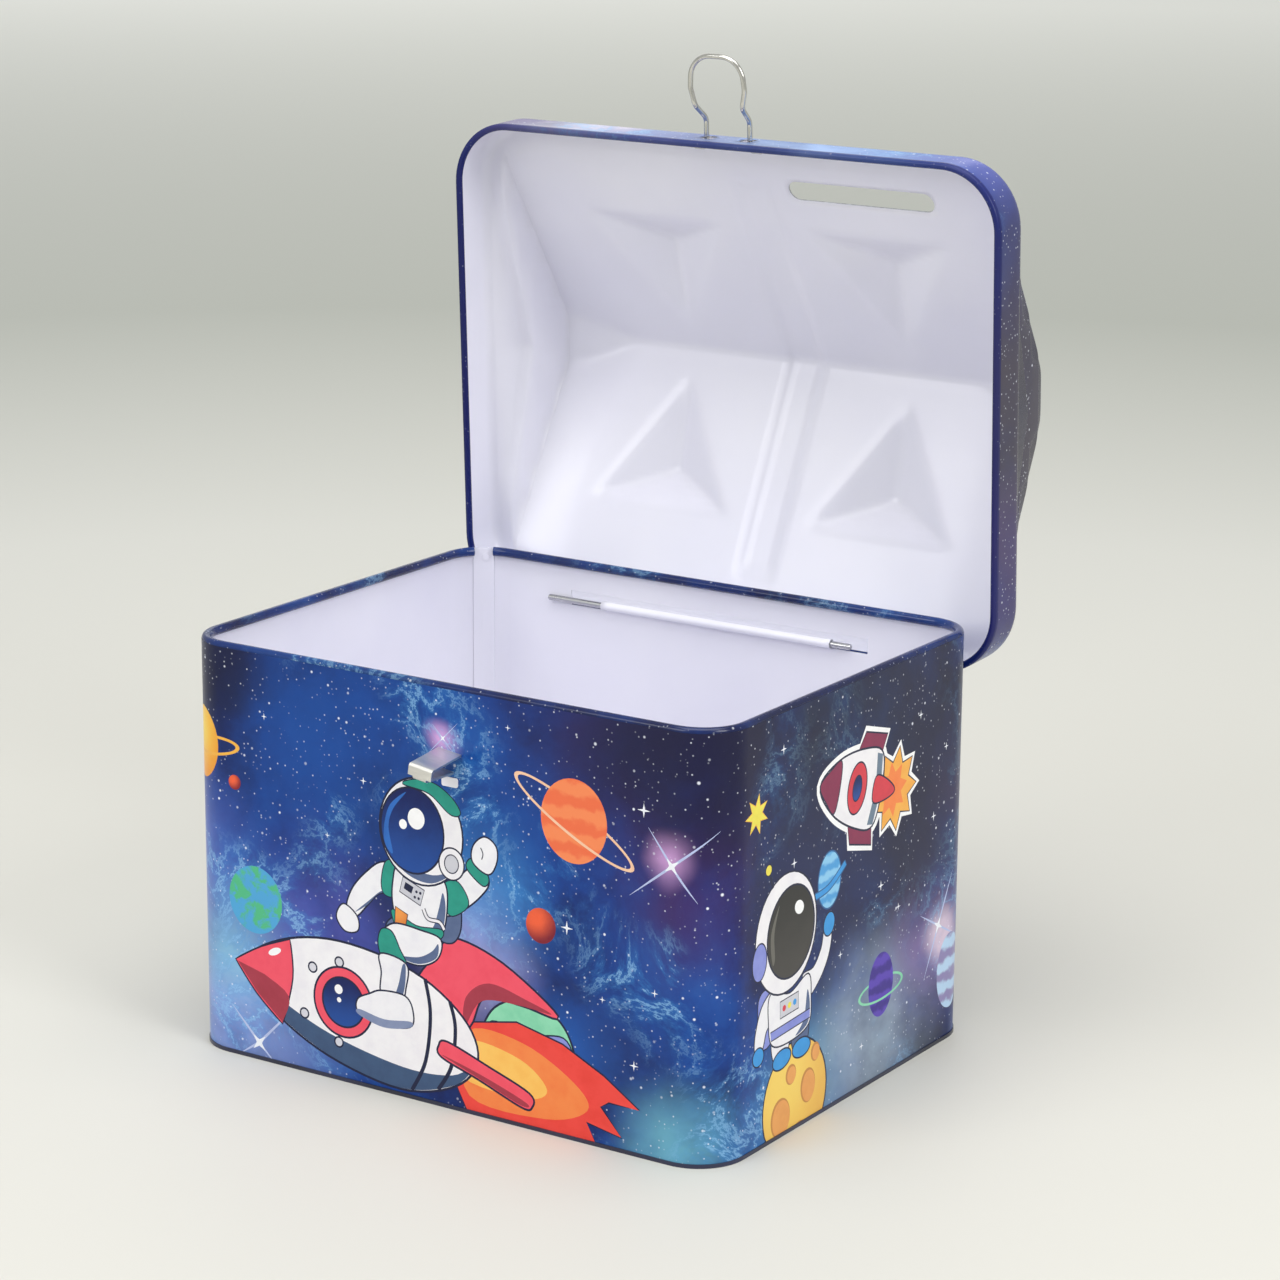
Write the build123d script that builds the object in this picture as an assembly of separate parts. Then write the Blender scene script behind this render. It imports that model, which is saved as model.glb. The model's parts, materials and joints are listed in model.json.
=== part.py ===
from build123d import *
from math import cos, radians, sin
import os

# A hinged tin money box, in millimetres. The origin is the centre of the box's underside,
# +X runs to the right along the front wall, +Y to the back and +Z up. The lid stands open.

# --- box -------------------------------------------------------------------------------------
BOX_WIDTH = 140.0
BOX_DEPTH = 110.0
BOX_HEIGHT = 95.0
BOX_CORNER = 11.0
SHEET = 0.3
BOX_CURL = 1.1            # outer radius of the rolled rim
BOX_CURL_SWEEP = 300.0    # how far round the rim is rolled, in degrees

# --- side seam, in the rear left corner ------------------------------------------------------
SEAM_FOLD = 22.0          # degrees round the corner from the back wall
SEAM_EDGE = 50.0
SEAM_TOP = BOX_HEIGHT - 0.4
SEAM_LOCK_ANGLE = 33.0
SEAM_LOCK_DROP = 2.7
SEAM_LOCK_RADIUS = 0.9
SEAM_LOCK_RISE = 0.2

# --- base plate ------------------------------------------------------------------------------
BASE_RISE = 2.0           # how far the panel stands above the underside
HEM_HEIGHT = 0.9
HEM_SHEET = 0.25

# --- hinge -----------------------------------------------------------------------------------
PIN_RADIUS = 0.75
PIN_Z = 84.7
PIN_Y = BOX_DEPTH / 2 - SHEET - PIN_RADIUS
PIN_LEFT = -46.8
PIN_RIGHT = 36.9
PIN_CHAMFER = 0.15
PIN_CLEARANCE = 0.05
HINGE_SLOT_HALF = 41.0
HINGE_SLOT_BOTTOM = 83.45
HINGE_SLOT_TOP = 87.05
TAB_LEFT = -31.4
TAB_RIGHT = 31.8
TAB_CURL_END = 280.0      # how far the tab is rolled round the pin, in degrees
OPEN_ANGLE = 87.6

# --- lid, measured x to the right, v from its rear face forwards and n up from its rim ---------
LID_WIDTH = 146.0
LID_DEPTH = 116.0
LID_CORNER = 15.0
LID_REAR = 57.1
LID_RIM_Z = 86.9
LID_SKIRT = 12.2
LID_EDGE_FILLET = 3.0
LID_CURL = 0.8
LID_CURL_SWEEP = 300.0

# --- roof pressed up from the lid ------------------------------------------------------------
ROOF_EAVE = 6.0           # flat margin between the skirt and the foot of a slope
ROOF_RIDGE = 40.0
ROOF_END = 67.4           # half length at the foot of the gable ends
ROOF_END_TOP = 66.6
RIDGE_HALF = 48.5
RIDGE_DROP = 5.5          # how far the ridge falls from its end to the gable
BAND_START = 55.5         # crease where a slope's end band starts to fall
BAND_DROP = 2.0
ROOF_ROOT = 1.0           # how far the roof's solid reaches below the margin

# --- dormers, two on each slope --------------------------------------------------------------
DORMER_X = 30.3
DORMER_HALF = 19.0
DORMER_BASE = 16.5        # from the foot of the slope's outer face to the dormer's base line
DORMER_PEAK = 23.0
DORMER_TIP = 45.0
DORMER_PEAK_N = 31.0
DORMER_ROOT = 3.0         # how far a dormer's solid reaches below its slope

# --- strap over the roof ---------------------------------------------------------------------
STRAP_LEFT = -4.0
STRAP_RIGHT = 5.0
STRAP_RISE = 0.9
STRAP_MARGIN = 11.0

# --- coin slot -------------------------------------------------------------------------------
COIN_LEFT = 10.6
COIN_RIGHT = 48.4
COIN_V_LOW = 101.6
COIN_V_HIGH = 106.2

# --- hasp and its staple ---------------------------------------------------------------------
HASP_WIRE = 0.6           # radius
HASP_LEG_X = 5.8
HASP_LOOP_X = 7.2
HASP_FOOT_X = 8.8
HASP_FOOT_BACK = 2.1
HASP_REACH = 19.5
HASP_NECK = 4.6           # the neck of the loop starts here, out from the skirt
HASP_SHOULDER = 8.0       # the wire has stepped down and starts to spread here
HASP_WAIST = 12.0         # the loop is at its widest from here on
HASP_SPREAD = 0.5
HASP_STEP = 4.0           # how far the shoulder lies below the legs
HASP_DROOP = 0.4          # further down at the waist
HASP_TIP_DROOP = 1.0      # further down at the tip
HASP_TIP_INSET = 0.6
HASP_BENDS = (1.0, 2.6, 2.6, 3.0, 5.6)    # fillet radii, from the foot to the tip
HASP_N = 6.0
HASP_HOLE_X = 5.2
HASP_HOLE_WIDTH = 3.2
HASP_HOLE_HEIGHT = 3.6
HASP_HOLE_CORNER = 1.0
STAPLE_X = 2.75
STAPLE_WIDTH = 6.0
STAPLE_LIP_WIDTH = 3.4
STAPLE_SHEET = 0.5
STAPLE_REACH = 10.3
STAPLE_TOP = 80.4
STAPLE_EDGE = 79.2
STAPLE_LOW = 76.5
STAPLE_ROOT = 76.0
STAPLE_CLINCH = 3.2
STAPLE_TILT = 8.0
STAPLE_SLOT_GAP = 0.15
TONGUE = (1.0, 5.2, 72.7, 74.8)
TONGUE_CORNER = 0.5

PASS = 5.0                # extra length of a cutter beyond what it cuts
PIN_AXIS = Axis((0, PIN_Y, PIN_Z), (1, 0, 0))


# --- shared shapes ---------------------------------------------------------------------------
def rounded_block(width, depth, corner, low, high):
    """A block with round vertical corners, centred on the Z axis, from z = low to z = high."""
    return Pos(0, 0, low) * extrude(RectangleRounded(width, depth, corner), high - low)


def rim_path(width, depth, corner, inset, z, start, end):
    """The line of a rolled rim: once round a rounded rectangle, open at its rear left corner.

    It starts and ends at the given angles round that corner from the back wall.
    """
    x = width / 2 - inset
    y = depth / 2 - inset
    r = corner - inset
    ends = [(-x + r, y - r), (-x + r, -y + r), (x - r, -y + r), (x - r, y - r)]
    arcs = [
        CenterArc((ends[0][0], ends[0][1], z), r, 90 + start, 90 - start),
        CenterArc((ends[1][0], ends[1][1], z), r, 180, 90),
        CenterArc((ends[2][0], ends[2][1], z), r, 270, 90),
        CenterArc((ends[3][0], ends[3][1], z), r, 0, 90),
    ]
    lines = [
        Line(arcs[0] @ 1, arcs[1] @ 0),
        Line(arcs[1] @ 1, arcs[2] @ 0),
        Line(arcs[2] @ 1, arcs[3] @ 0),
        Line(arcs[3] @ 1, (-x + r, y, z)),
    ]
    edges = [piece for pair in zip(arcs, lines) for piece in pair]
    if end > 0:
        edges.append(CenterArc((ends[0][0], ends[0][1], z), r, 90, end))
    return Wire(edges)


def curl_section(path, radius, first, sweep):
    """The open ring of a rolled edge, square to the start of its path.

    Angles run from the outward side (0) over the top (90) to the inward side (180).
    """
    tangent = path % 0
    outward = Vector(tangent.Y, -tangent.X, 0)
    plane = Plane(path @ 0, x_dir=outward, z_dir=tangent * -1)
    if plane.y_dir.Z < 0:
        plane = Plane(path @ 0, x_dir=outward, z_dir=tangent)
    ring = Circle(radius) - Circle(radius - SHEET)
    gap = 360 - sweep
    reach = 2 * radius
    middle = first + sweep + gap / 2
    wedge = Polygon(
        (0, 0),
        (reach * cos(radians(middle - gap / 2)), reach * sin(radians(middle - gap / 2))),
        (reach * cos(radians(middle + gap / 2)), reach * sin(radians(middle + gap / 2))),
        align=None,
    )
    return plane * (ring - wedge)


def facet(a, b, c, inset):
    """The plane through three points of the lid that faces up and out, moved in by inset."""
    corners = [Vector(*point) for point in (a, b, c)]
    normal = (corners[1] - corners[0]).cross(corners[2] - corners[0]).normalized()
    if normal.Z < 0:
        normal = normal * -1
    return Plane(corners[0] - normal * inset, z_dir=normal)


def under(block, planes):
    """What is left of a block on the lower side of every plane."""
    for plane in planes:
        block = split(block, bisect_by=plane, keep=Keep.BOTTOM)
    return block


def lid_point(x, v, n):
    """A point of the closed lid, in the box's axes."""
    return (x, LID_REAR - v, LID_RIM_Z + n)


# --- box -------------------------------------------------------------------------------------
def corner_arc_band(outer, first, last, low, high):
    """A strip one sheet thick round the rear left corner, between two angles from the back."""
    centre = (-BOX_WIDTH / 2 + BOX_CORNER, BOX_DEPTH / 2 - BOX_CORNER)
    sector = CenterArc((0, 0), outer, 90 + first, last - first)
    inner = CenterArc((0, 0), outer - SHEET, 90 + first, last - first)
    outline = Wire([sector, Line(sector @ 1, inner @ 1), inner, Line(inner @ 0, sector @ 0)])
    return Pos(centre[0], centre[1], low) * extrude(make_face(outline), high - low, dir=(0, 0, 1))


def make_body_wall():
    curl_z = BOX_HEIGHT - BOX_CURL
    outer = rounded_block(BOX_WIDTH, BOX_DEPTH, BOX_CORNER, SHEET, curl_z)
    inner = rounded_block(
        BOX_WIDTH - 2 * SHEET, BOX_DEPTH - 2 * SHEET, BOX_CORNER - SHEET, SHEET - PASS, curl_z + PASS
    )
    wall = outer - inner
    path = rim_path(BOX_WIDTH, BOX_DEPTH, BOX_CORNER, BOX_CURL, curl_z, SEAM_EDGE, SEAM_FOLD)
    wall += sweep(curl_section(path, BOX_CURL, 0, BOX_CURL_SWEEP), path)
    wall += corner_arc_band(BOX_CORNER, SEAM_FOLD, SEAM_EDGE, curl_z, SEAM_TOP)
    wall += corner_arc_band(
        BOX_CORNER - SHEET, SEAM_FOLD, SEAM_EDGE, BASE_RISE + SHEET, SEAM_TOP
    )
    wall += seam_lock()
    wall += tongue()
    slot_height = HINGE_SLOT_TOP - HINGE_SLOT_BOTTOM
    wall -= Pos(0, BOX_DEPTH / 2, HINGE_SLOT_BOTTOM + slot_height / 2) * Box(
        2 * HINGE_SLOT_HALF, PASS, slot_height
    )
    return wall - staple_slots()


def seam_lock():
    """The small button that locks the side seam, just under the rim."""
    turn = radians(90 + SEAM_LOCK_ANGLE)
    outward = Vector(cos(turn), sin(turn), 0)
    centre = Vector(-BOX_WIDTH / 2 + BOX_CORNER, BOX_DEPTH / 2 - BOX_CORNER, BOX_HEIGHT - SEAM_LOCK_DROP)
    start = centre + outward * (BOX_CORNER - SHEET)
    return extrude(Plane(start, z_dir=outward * -1) * Circle(SEAM_LOCK_RADIUS), SHEET + SEAM_LOCK_RISE)


def tongue():
    """The little tab folded flat against the front wall, under the staple."""
    left, right, low, high = TONGUE
    face = Plane((0, -BOX_DEPTH / 2, 0), x_dir=(1, 0, 0), z_dir=(0, -1, 0))
    outline = Pos((left + right) / 2, (low + high) / 2) * RectangleRounded(
        right - left, high - low, TONGUE_CORNER
    )
    return extrude(face * outline, SHEET)


def make_base_plate():
    """The countersunk base, its edge hemmed round the bottom of the wall."""
    inside = 2 * SHEET
    rim = rounded_block(
        BOX_WIDTH + 2 * HEM_SHEET, BOX_DEPTH + 2 * HEM_SHEET, BOX_CORNER + HEM_SHEET, 0, HEM_HEIGHT
    )
    rim -= rounded_block(BOX_WIDTH, BOX_DEPTH, BOX_CORNER, SHEET, HEM_HEIGHT + PASS)
    pan = rounded_block(
        BOX_WIDTH - inside, BOX_DEPTH - inside, BOX_CORNER - SHEET, 0, BASE_RISE + SHEET
    )
    hollow = rounded_block(
        BOX_WIDTH - 2 * inside, BOX_DEPTH - 2 * inside, BOX_CORNER - 2 * SHEET, -PASS, BASE_RISE
    )
    return rim + pan - hollow


# --- hinge -----------------------------------------------------------------------------------
def make_hinge_pin():
    length = PIN_RIGHT - PIN_LEFT
    pin = extrude(Plane((PIN_LEFT, PIN_Y, PIN_Z), z_dir=(1, 0, 0)) * Circle(PIN_RADIUS), length)
    return chamfer(pin.edges().filter_by(GeomType.CIRCLE), PIN_CHAMFER)


def hinge_tab():
    """The lid's rear tab: down from the skirt, in through the wall's slot and round the pin."""
    inner = PIN_RADIUS + PIN_CLEARANCE
    outer = inner + SHEET
    skirt = LID_REAR - PIN_Y
    rim = LID_RIM_Z - PIN_Z
    reach = 2 * outer
    ring = Circle(outer) - Circle(inner)
    free = radians(360 - TAB_CURL_END)
    mouth = Polygon((0, 0), (reach, 0), (reach, reach), (reach * cos(free), reach * sin(free)), align=None)
    profile = ring - mouth
    profile += Pos(inner + SHEET / 2, rim / 2) * Rectangle(SHEET, rim)
    profile += Pos((inner + skirt) / 2, rim - SHEET / 2) * Rectangle(skirt - inner, SHEET)
    profile += Pos(skirt - SHEET / 2, rim + LID_CURL / 2) * Rectangle(SHEET, LID_CURL)
    plane = Plane((TAB_LEFT, PIN_Y, PIN_Z), x_dir=(0, 1, 0), z_dir=(1, 0, 0))
    return extrude(plane * profile, TAB_RIGHT - TAB_LEFT)


# --- lid -------------------------------------------------------------------------------------
def slope_height(v):
    """Height of a roof slope's outer face at a distance v from its own eave side of the lid."""
    rise = (ROOF_RIDGE - LID_SKIRT) / (LID_DEPTH / 2 - ROOF_EAVE)
    return LID_SKIRT + (v - ROOF_EAVE) * rise


def roof_block(inset):
    """The house-shaped roof, down to just below the margin, with every face moved in by inset."""
    middle = LID_DEPTH / 2
    planes = []
    for side in (-1, 1):
        foot = middle - side * (middle - ROOF_EAVE)
        eave = [lid_point(x, foot, LID_SKIRT) for x in (-1, 1)]
        planes.append(facet(*eave, lid_point(0, middle, ROOF_RIDGE), inset))
        for end in (-1, 1):
            crease_foot = lid_point(end * BAND_START, foot, LID_SKIRT)
            crease_top = lid_point(end * BAND_START, middle, ROOF_RIDGE)
            gable_foot = lid_point(end * ROOF_END, foot, LID_SKIRT - BAND_DROP)
            planes.append(facet(crease_foot, crease_top, gable_foot, inset))
    for end in (-1, 1):
        ridge = lid_point(end * RIDGE_HALF, middle, ROOF_RIDGE)
        gable = lid_point(end * ROOF_END, middle, ROOF_RIDGE - RIDGE_DROP)
        planes.append(facet(ridge, gable, (gable[0], gable[1] + 1, gable[2]), inset))
        top = lid_point(end * ROOF_END_TOP, middle, ROOF_RIDGE)
        foot = lid_point(end * ROOF_END, middle, LID_SKIRT)
        planes.append(facet(top, foot, (foot[0], foot[1] + 1, foot[2]), inset))
    centre = lid_point(0, middle, LID_SKIRT - ROOF_ROOT)
    block = Pos(*centre) * Box(
        LID_WIDTH, LID_DEPTH, 2 * ROOF_RIDGE, align=(Align.CENTER, Align.CENTER, Align.MIN)
    )
    return under(block, planes)


def dormer(x, side, inset):
    """One pyramid-like press on a slope; side is 1 on the front slope and -1 on the rear."""

    def place(across, from_eave, n):
        v = LID_DEPTH - from_eave if side > 0 else from_eave
        return lid_point(x + across, v, n)

    base = ROOF_EAVE + DORMER_BASE
    tip = ROOF_EAVE + DORMER_TIP
    left = place(-DORMER_HALF, base, slope_height(base))
    right = place(DORMER_HALF, base, slope_height(base))
    top = place(0, tip, slope_height(tip))
    peak = place(0, ROOF_EAVE + DORMER_PEAK, DORMER_PEAK_N)
    slope = facet(left, right, top, DORMER_ROOT)
    block = Pos(*peak) * Box(4 * DORMER_HALF, 4 * DORMER_HALF, 4 * DORMER_HALF)
    block = under(block, [facet(left, right, peak, inset), facet(left, top, peak, inset),
                          facet(right, top, peak, inset)])
    return split(block, bisect_by=slope, keep=Keep.TOP)


def strap(inset):
    """The raised band that crosses the roof from front to back."""
    middle = LID_DEPTH / 2
    left = STRAP_LEFT + inset
    right = STRAP_RIGHT - inset
    planes = []
    for side in (-1, 1):
        foot = middle - side * (middle - ROOF_EAVE)
        eave = [lid_point(x, foot, LID_SKIRT + STRAP_RISE) for x in (-1, 1)]
        planes.append(facet(*eave, lid_point(0, middle, ROOF_RIDGE + STRAP_RISE), inset))
    length = LID_DEPTH - 2 * STRAP_MARGIN - 2 * inset
    centre = lid_point((left + right) / 2, middle, LID_SKIRT / 2)
    block = Pos(*centre) * Box(
        right - left, length, 2 * ROOF_RIDGE, align=(Align.CENTER, Align.CENTER, Align.MIN)
    )
    return under(block, planes)


def lid_form(inset, low):
    """The lid's outer shape moved in by inset, solid from n = low to the roof."""
    block = rounded_block(
        LID_WIDTH - 2 * inset, LID_DEPTH - 2 * inset, LID_CORNER - inset, low, LID_SKIRT - inset
    )
    block = fillet(block.faces().sort_by(Axis.Z)[-1].edges(), LID_EDGE_FILLET - inset)
    block = Pos(*lid_point(0, LID_DEPTH / 2, 0)) * block
    block += roof_block(inset)
    for x in (-DORMER_X, DORMER_X):
        for side in (-1, 1):
            block += dormer(x, side, inset)
    return block + strap(inset)


def coin_slot():
    width = COIN_RIGHT - COIN_LEFT
    height = COIN_V_HIGH - COIN_V_LOW
    outline = RectangleRounded(width, height, height / 2 - SHEET / 2)
    centre = lid_point((COIN_LEFT + COIN_RIGHT) / 2, (COIN_V_LOW + COIN_V_HIGH) / 2, LID_SKIRT)
    return Pos(centre[0], centre[1], centre[2] - PASS) * extrude(outline, 3 * PASS)


def hasp_holes():
    outline = RectangleRounded(HASP_HOLE_WIDTH, HASP_HOLE_HEIGHT, HASP_HOLE_CORNER)
    holes = []
    for side in (-1, 1):
        centre = lid_point(side * HASP_HOLE_X, LID_DEPTH - PASS, HASP_N)
        holes.append(extrude(Plane(centre, x_dir=(1, 0, 0), z_dir=(0, -1, 0)) * outline, 2 * PASS))
    return holes


def lid_rim():
    """The lid's rolled rim, broken along the hinge tab."""
    z = LID_RIM_Z + LID_CURL
    path = rim_path(LID_WIDTH, LID_DEPTH, LID_CORNER, LID_CURL, z, 0, 0)
    rim = sweep(curl_section(path, LID_CURL, 360, -LID_CURL_SWEEP), path)
    rim = Pos(0, LID_REAR - LID_DEPTH / 2, 0) * rim
    gap = Pos((TAB_LEFT + TAB_RIGHT) / 2, LID_REAR, z) * Box(TAB_RIGHT - TAB_LEFT, 2 * PASS, PASS)
    return rim - gap


def make_lid():
    shell = lid_form(0, LID_CURL) - lid_form(SHEET, -PASS)
    shell = shell - coin_slot() - hasp_holes()
    lid = shell + lid_rim() + hinge_tab()
    return lid.rotate(PIN_AXIS, -OPEN_ANGLE)


# --- hasp and staple -------------------------------------------------------------------------
def make_hasp():
    """The bent wire loop, its two feet behind the lid's front skirt."""
    half = [
        (HASP_FOOT_X, -HASP_FOOT_BACK, 0),
        (HASP_LEG_X, -HASP_FOOT_BACK, 0),
        (HASP_LEG_X, HASP_NECK, 0),
        (HASP_LEG_X + HASP_SPREAD, HASP_SHOULDER, HASP_STEP),
        (HASP_LOOP_X, HASP_WAIST, HASP_STEP + HASP_DROOP),
        (HASP_LOOP_X - HASP_TIP_INSET, HASP_REACH, HASP_STEP + HASP_TIP_DROOP),
    ]
    points = half + [(-x, out, down) for x, out, down in half[::-1]]
    pivot = lid_point(0, LID_DEPTH - SHEET / 2, HASP_N)
    corners = [(x, pivot[1] - out, pivot[2] - down) for x, out, down in points]
    path = FilletPolyline(*corners, radius=[*HASP_BENDS, *HASP_BENDS[::-1]])
    wire = sweep(Plane(path @ 0, z_dir=path % 0) * Circle(HASP_WIRE), path)
    return wire.rotate(PIN_AXIS, -OPEN_ANGLE)


def staple_turn(shape):
    """Set askew, as pressed in: turned in the plane of the front wall about the staple's middle."""
    middle = (STAPLE_TOP + STAPLE_ROOT) / 2
    return shape.rotate(Axis((STAPLE_X, 0, middle), (0, 1, 0)), STAPLE_TILT)


def strip(points, width):
    """A bent strip of the staple's sheet, centred on the given line of (y, z) points."""
    line = FilletPolyline(*[(0, y, z) for y, z in points], radius=STAPLE_SHEET)
    section = Plane(line @ 0, x_dir=(1, 0, 0), z_dir=line % 0) * Rectangle(width, STAPLE_SHEET)
    return Pos(STAPLE_X, 0, 0) * sweep(section, line)


def make_staple():
    """The strip that the hasp drops over: out, down over the lip and back, clinched inside."""
    inside = -BOX_DEPTH / 2 + SHEET + STAPLE_SHEET / 2
    outside = -BOX_DEPTH / 2 - STAPLE_REACH + STAPLE_SHEET / 2
    upper = [(inside, STAPLE_TOP + STAPLE_CLINCH), (inside, STAPLE_TOP), (outside, STAPLE_EDGE),
             (outside, STAPLE_LOW + STAPLE_SHEET)]
    lower = [(outside, STAPLE_EDGE - STAPLE_SHEET), (outside, STAPLE_LOW), (inside, STAPLE_ROOT),
             (inside, STAPLE_ROOT - STAPLE_CLINCH)]
    return staple_turn(strip(upper, STAPLE_WIDTH) + strip(lower, STAPLE_LIP_WIDTH))


def staple_slots():
    """The two cuts in the front wall that the staple's legs pass through."""
    cuts = []
    for width, z in ((STAPLE_WIDTH, STAPLE_TOP), (STAPLE_LIP_WIDTH, STAPLE_ROOT)):
        cut = Box(width + 2 * STAPLE_SLOT_GAP, PASS, STAPLE_SHEET + 2 * STAPLE_SLOT_GAP)
        cuts.append(staple_turn(Pos(STAPLE_X, -BOX_DEPTH / 2, z) * cut))
    return cuts


os.makedirs("parts", exist_ok=True)
for name, make in (
    ("body_wall", make_body_wall),
    ("base_plate", make_base_plate),
    ("staple", make_staple),
    ("hinge_pin", make_hinge_pin),
    ("lid", make_lid),
    ("hasp", make_hasp),
):
    export_step(make(), f"parts/{name}.step")
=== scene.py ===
import json
from math import cos, exp, hypot, log, pi, radians, sin
from random import Random

import bmesh
import bpy
import numpy as np
from mathutils import Matrix, Vector
from mathutils.geometry import delaunay_2d_cdt


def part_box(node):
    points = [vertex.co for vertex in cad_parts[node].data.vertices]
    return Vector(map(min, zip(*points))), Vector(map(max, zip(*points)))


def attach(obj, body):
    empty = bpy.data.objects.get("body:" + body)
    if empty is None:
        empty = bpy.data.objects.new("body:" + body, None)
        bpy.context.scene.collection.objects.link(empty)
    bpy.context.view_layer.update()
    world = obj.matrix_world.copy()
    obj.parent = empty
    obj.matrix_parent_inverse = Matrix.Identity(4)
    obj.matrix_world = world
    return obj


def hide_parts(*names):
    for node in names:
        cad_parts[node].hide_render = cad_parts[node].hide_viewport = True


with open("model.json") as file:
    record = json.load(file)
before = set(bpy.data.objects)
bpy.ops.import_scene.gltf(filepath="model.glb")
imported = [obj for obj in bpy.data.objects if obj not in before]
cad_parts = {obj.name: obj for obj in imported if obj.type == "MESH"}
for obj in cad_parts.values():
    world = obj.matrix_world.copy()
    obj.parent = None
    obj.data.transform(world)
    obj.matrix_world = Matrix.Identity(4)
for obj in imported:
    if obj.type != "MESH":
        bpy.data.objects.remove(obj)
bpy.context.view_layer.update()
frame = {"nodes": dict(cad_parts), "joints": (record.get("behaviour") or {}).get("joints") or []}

MM = 0.001
NODES = frame["nodes"]
JOINTS = {joint["name"]: joint for joint in frame["joints"]}


def extent(node):
    """The lowest and highest corner of a CAD node, in millimetres."""
    low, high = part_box(node)
    return low / MM, high / MM


# --- sizes, in millimetres -----------------------------------------------------------------
WALL_LOW, WALL_HIGH = extent("body_wall")
BOX_WIDTH = WALL_HIGH.x - WALL_LOW.x
BOX_DEPTH = 2 * WALL_HIGH.y
BOX_HEIGHT = WALL_HIGH.z
BOX_CORNER = 11.0
SHEET = 0.3
BOX_CURL = 2.2
PRINT_GAP = 0.04          # how far the printed skin stands off the wall
PRINT_LOW = 0.5           # the print's lower edge, above the underside
RIM_LAP = 0.05            # how far the rim's print reaches down past the rolled rim
TONGUE_PROUD = 0.1        # what stands this far in front of the wall is the bare tongue
BASE_WHITE = 2.15         # the base is lacquered white above this height
SEAM_LEFT, SEAM_RIGHT, SEAM_FRONT = -67.5, -63.1, 50.8    # the rim's gap at the side seam

PIN = Vector(JOINTS["lid_hinge"]["pos_m"]) / MM
OPEN_ANGLE = radians(JOINTS["lid_hinge"]["range_deg"][1])
LID_LOW, LID_HIGH = extent("lid")
LID_WIDTH = LID_HIGH.x - LID_LOW.x
LID_DEPTH = 116.0
LID_CORNER = 15.0
LID_REAR = 57.1
LID_RIM_Z = 86.9
LID_SKIRT = 12.2
LID_EDGE = 3.0
LID_CURL = 0.8
TAB_LEFT = -31.4
TAB_RIGHT = 31.8
TAB_CURL = 1.1
TAB_CURL_END = 280
HINGE_SLOT = (-41.0, 41.0, 83.45, 87.05)
SLOT_MARGIN_X = 0.246     # the white edge round the slot
SLOT_MARGIN_Z = 0.18


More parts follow.
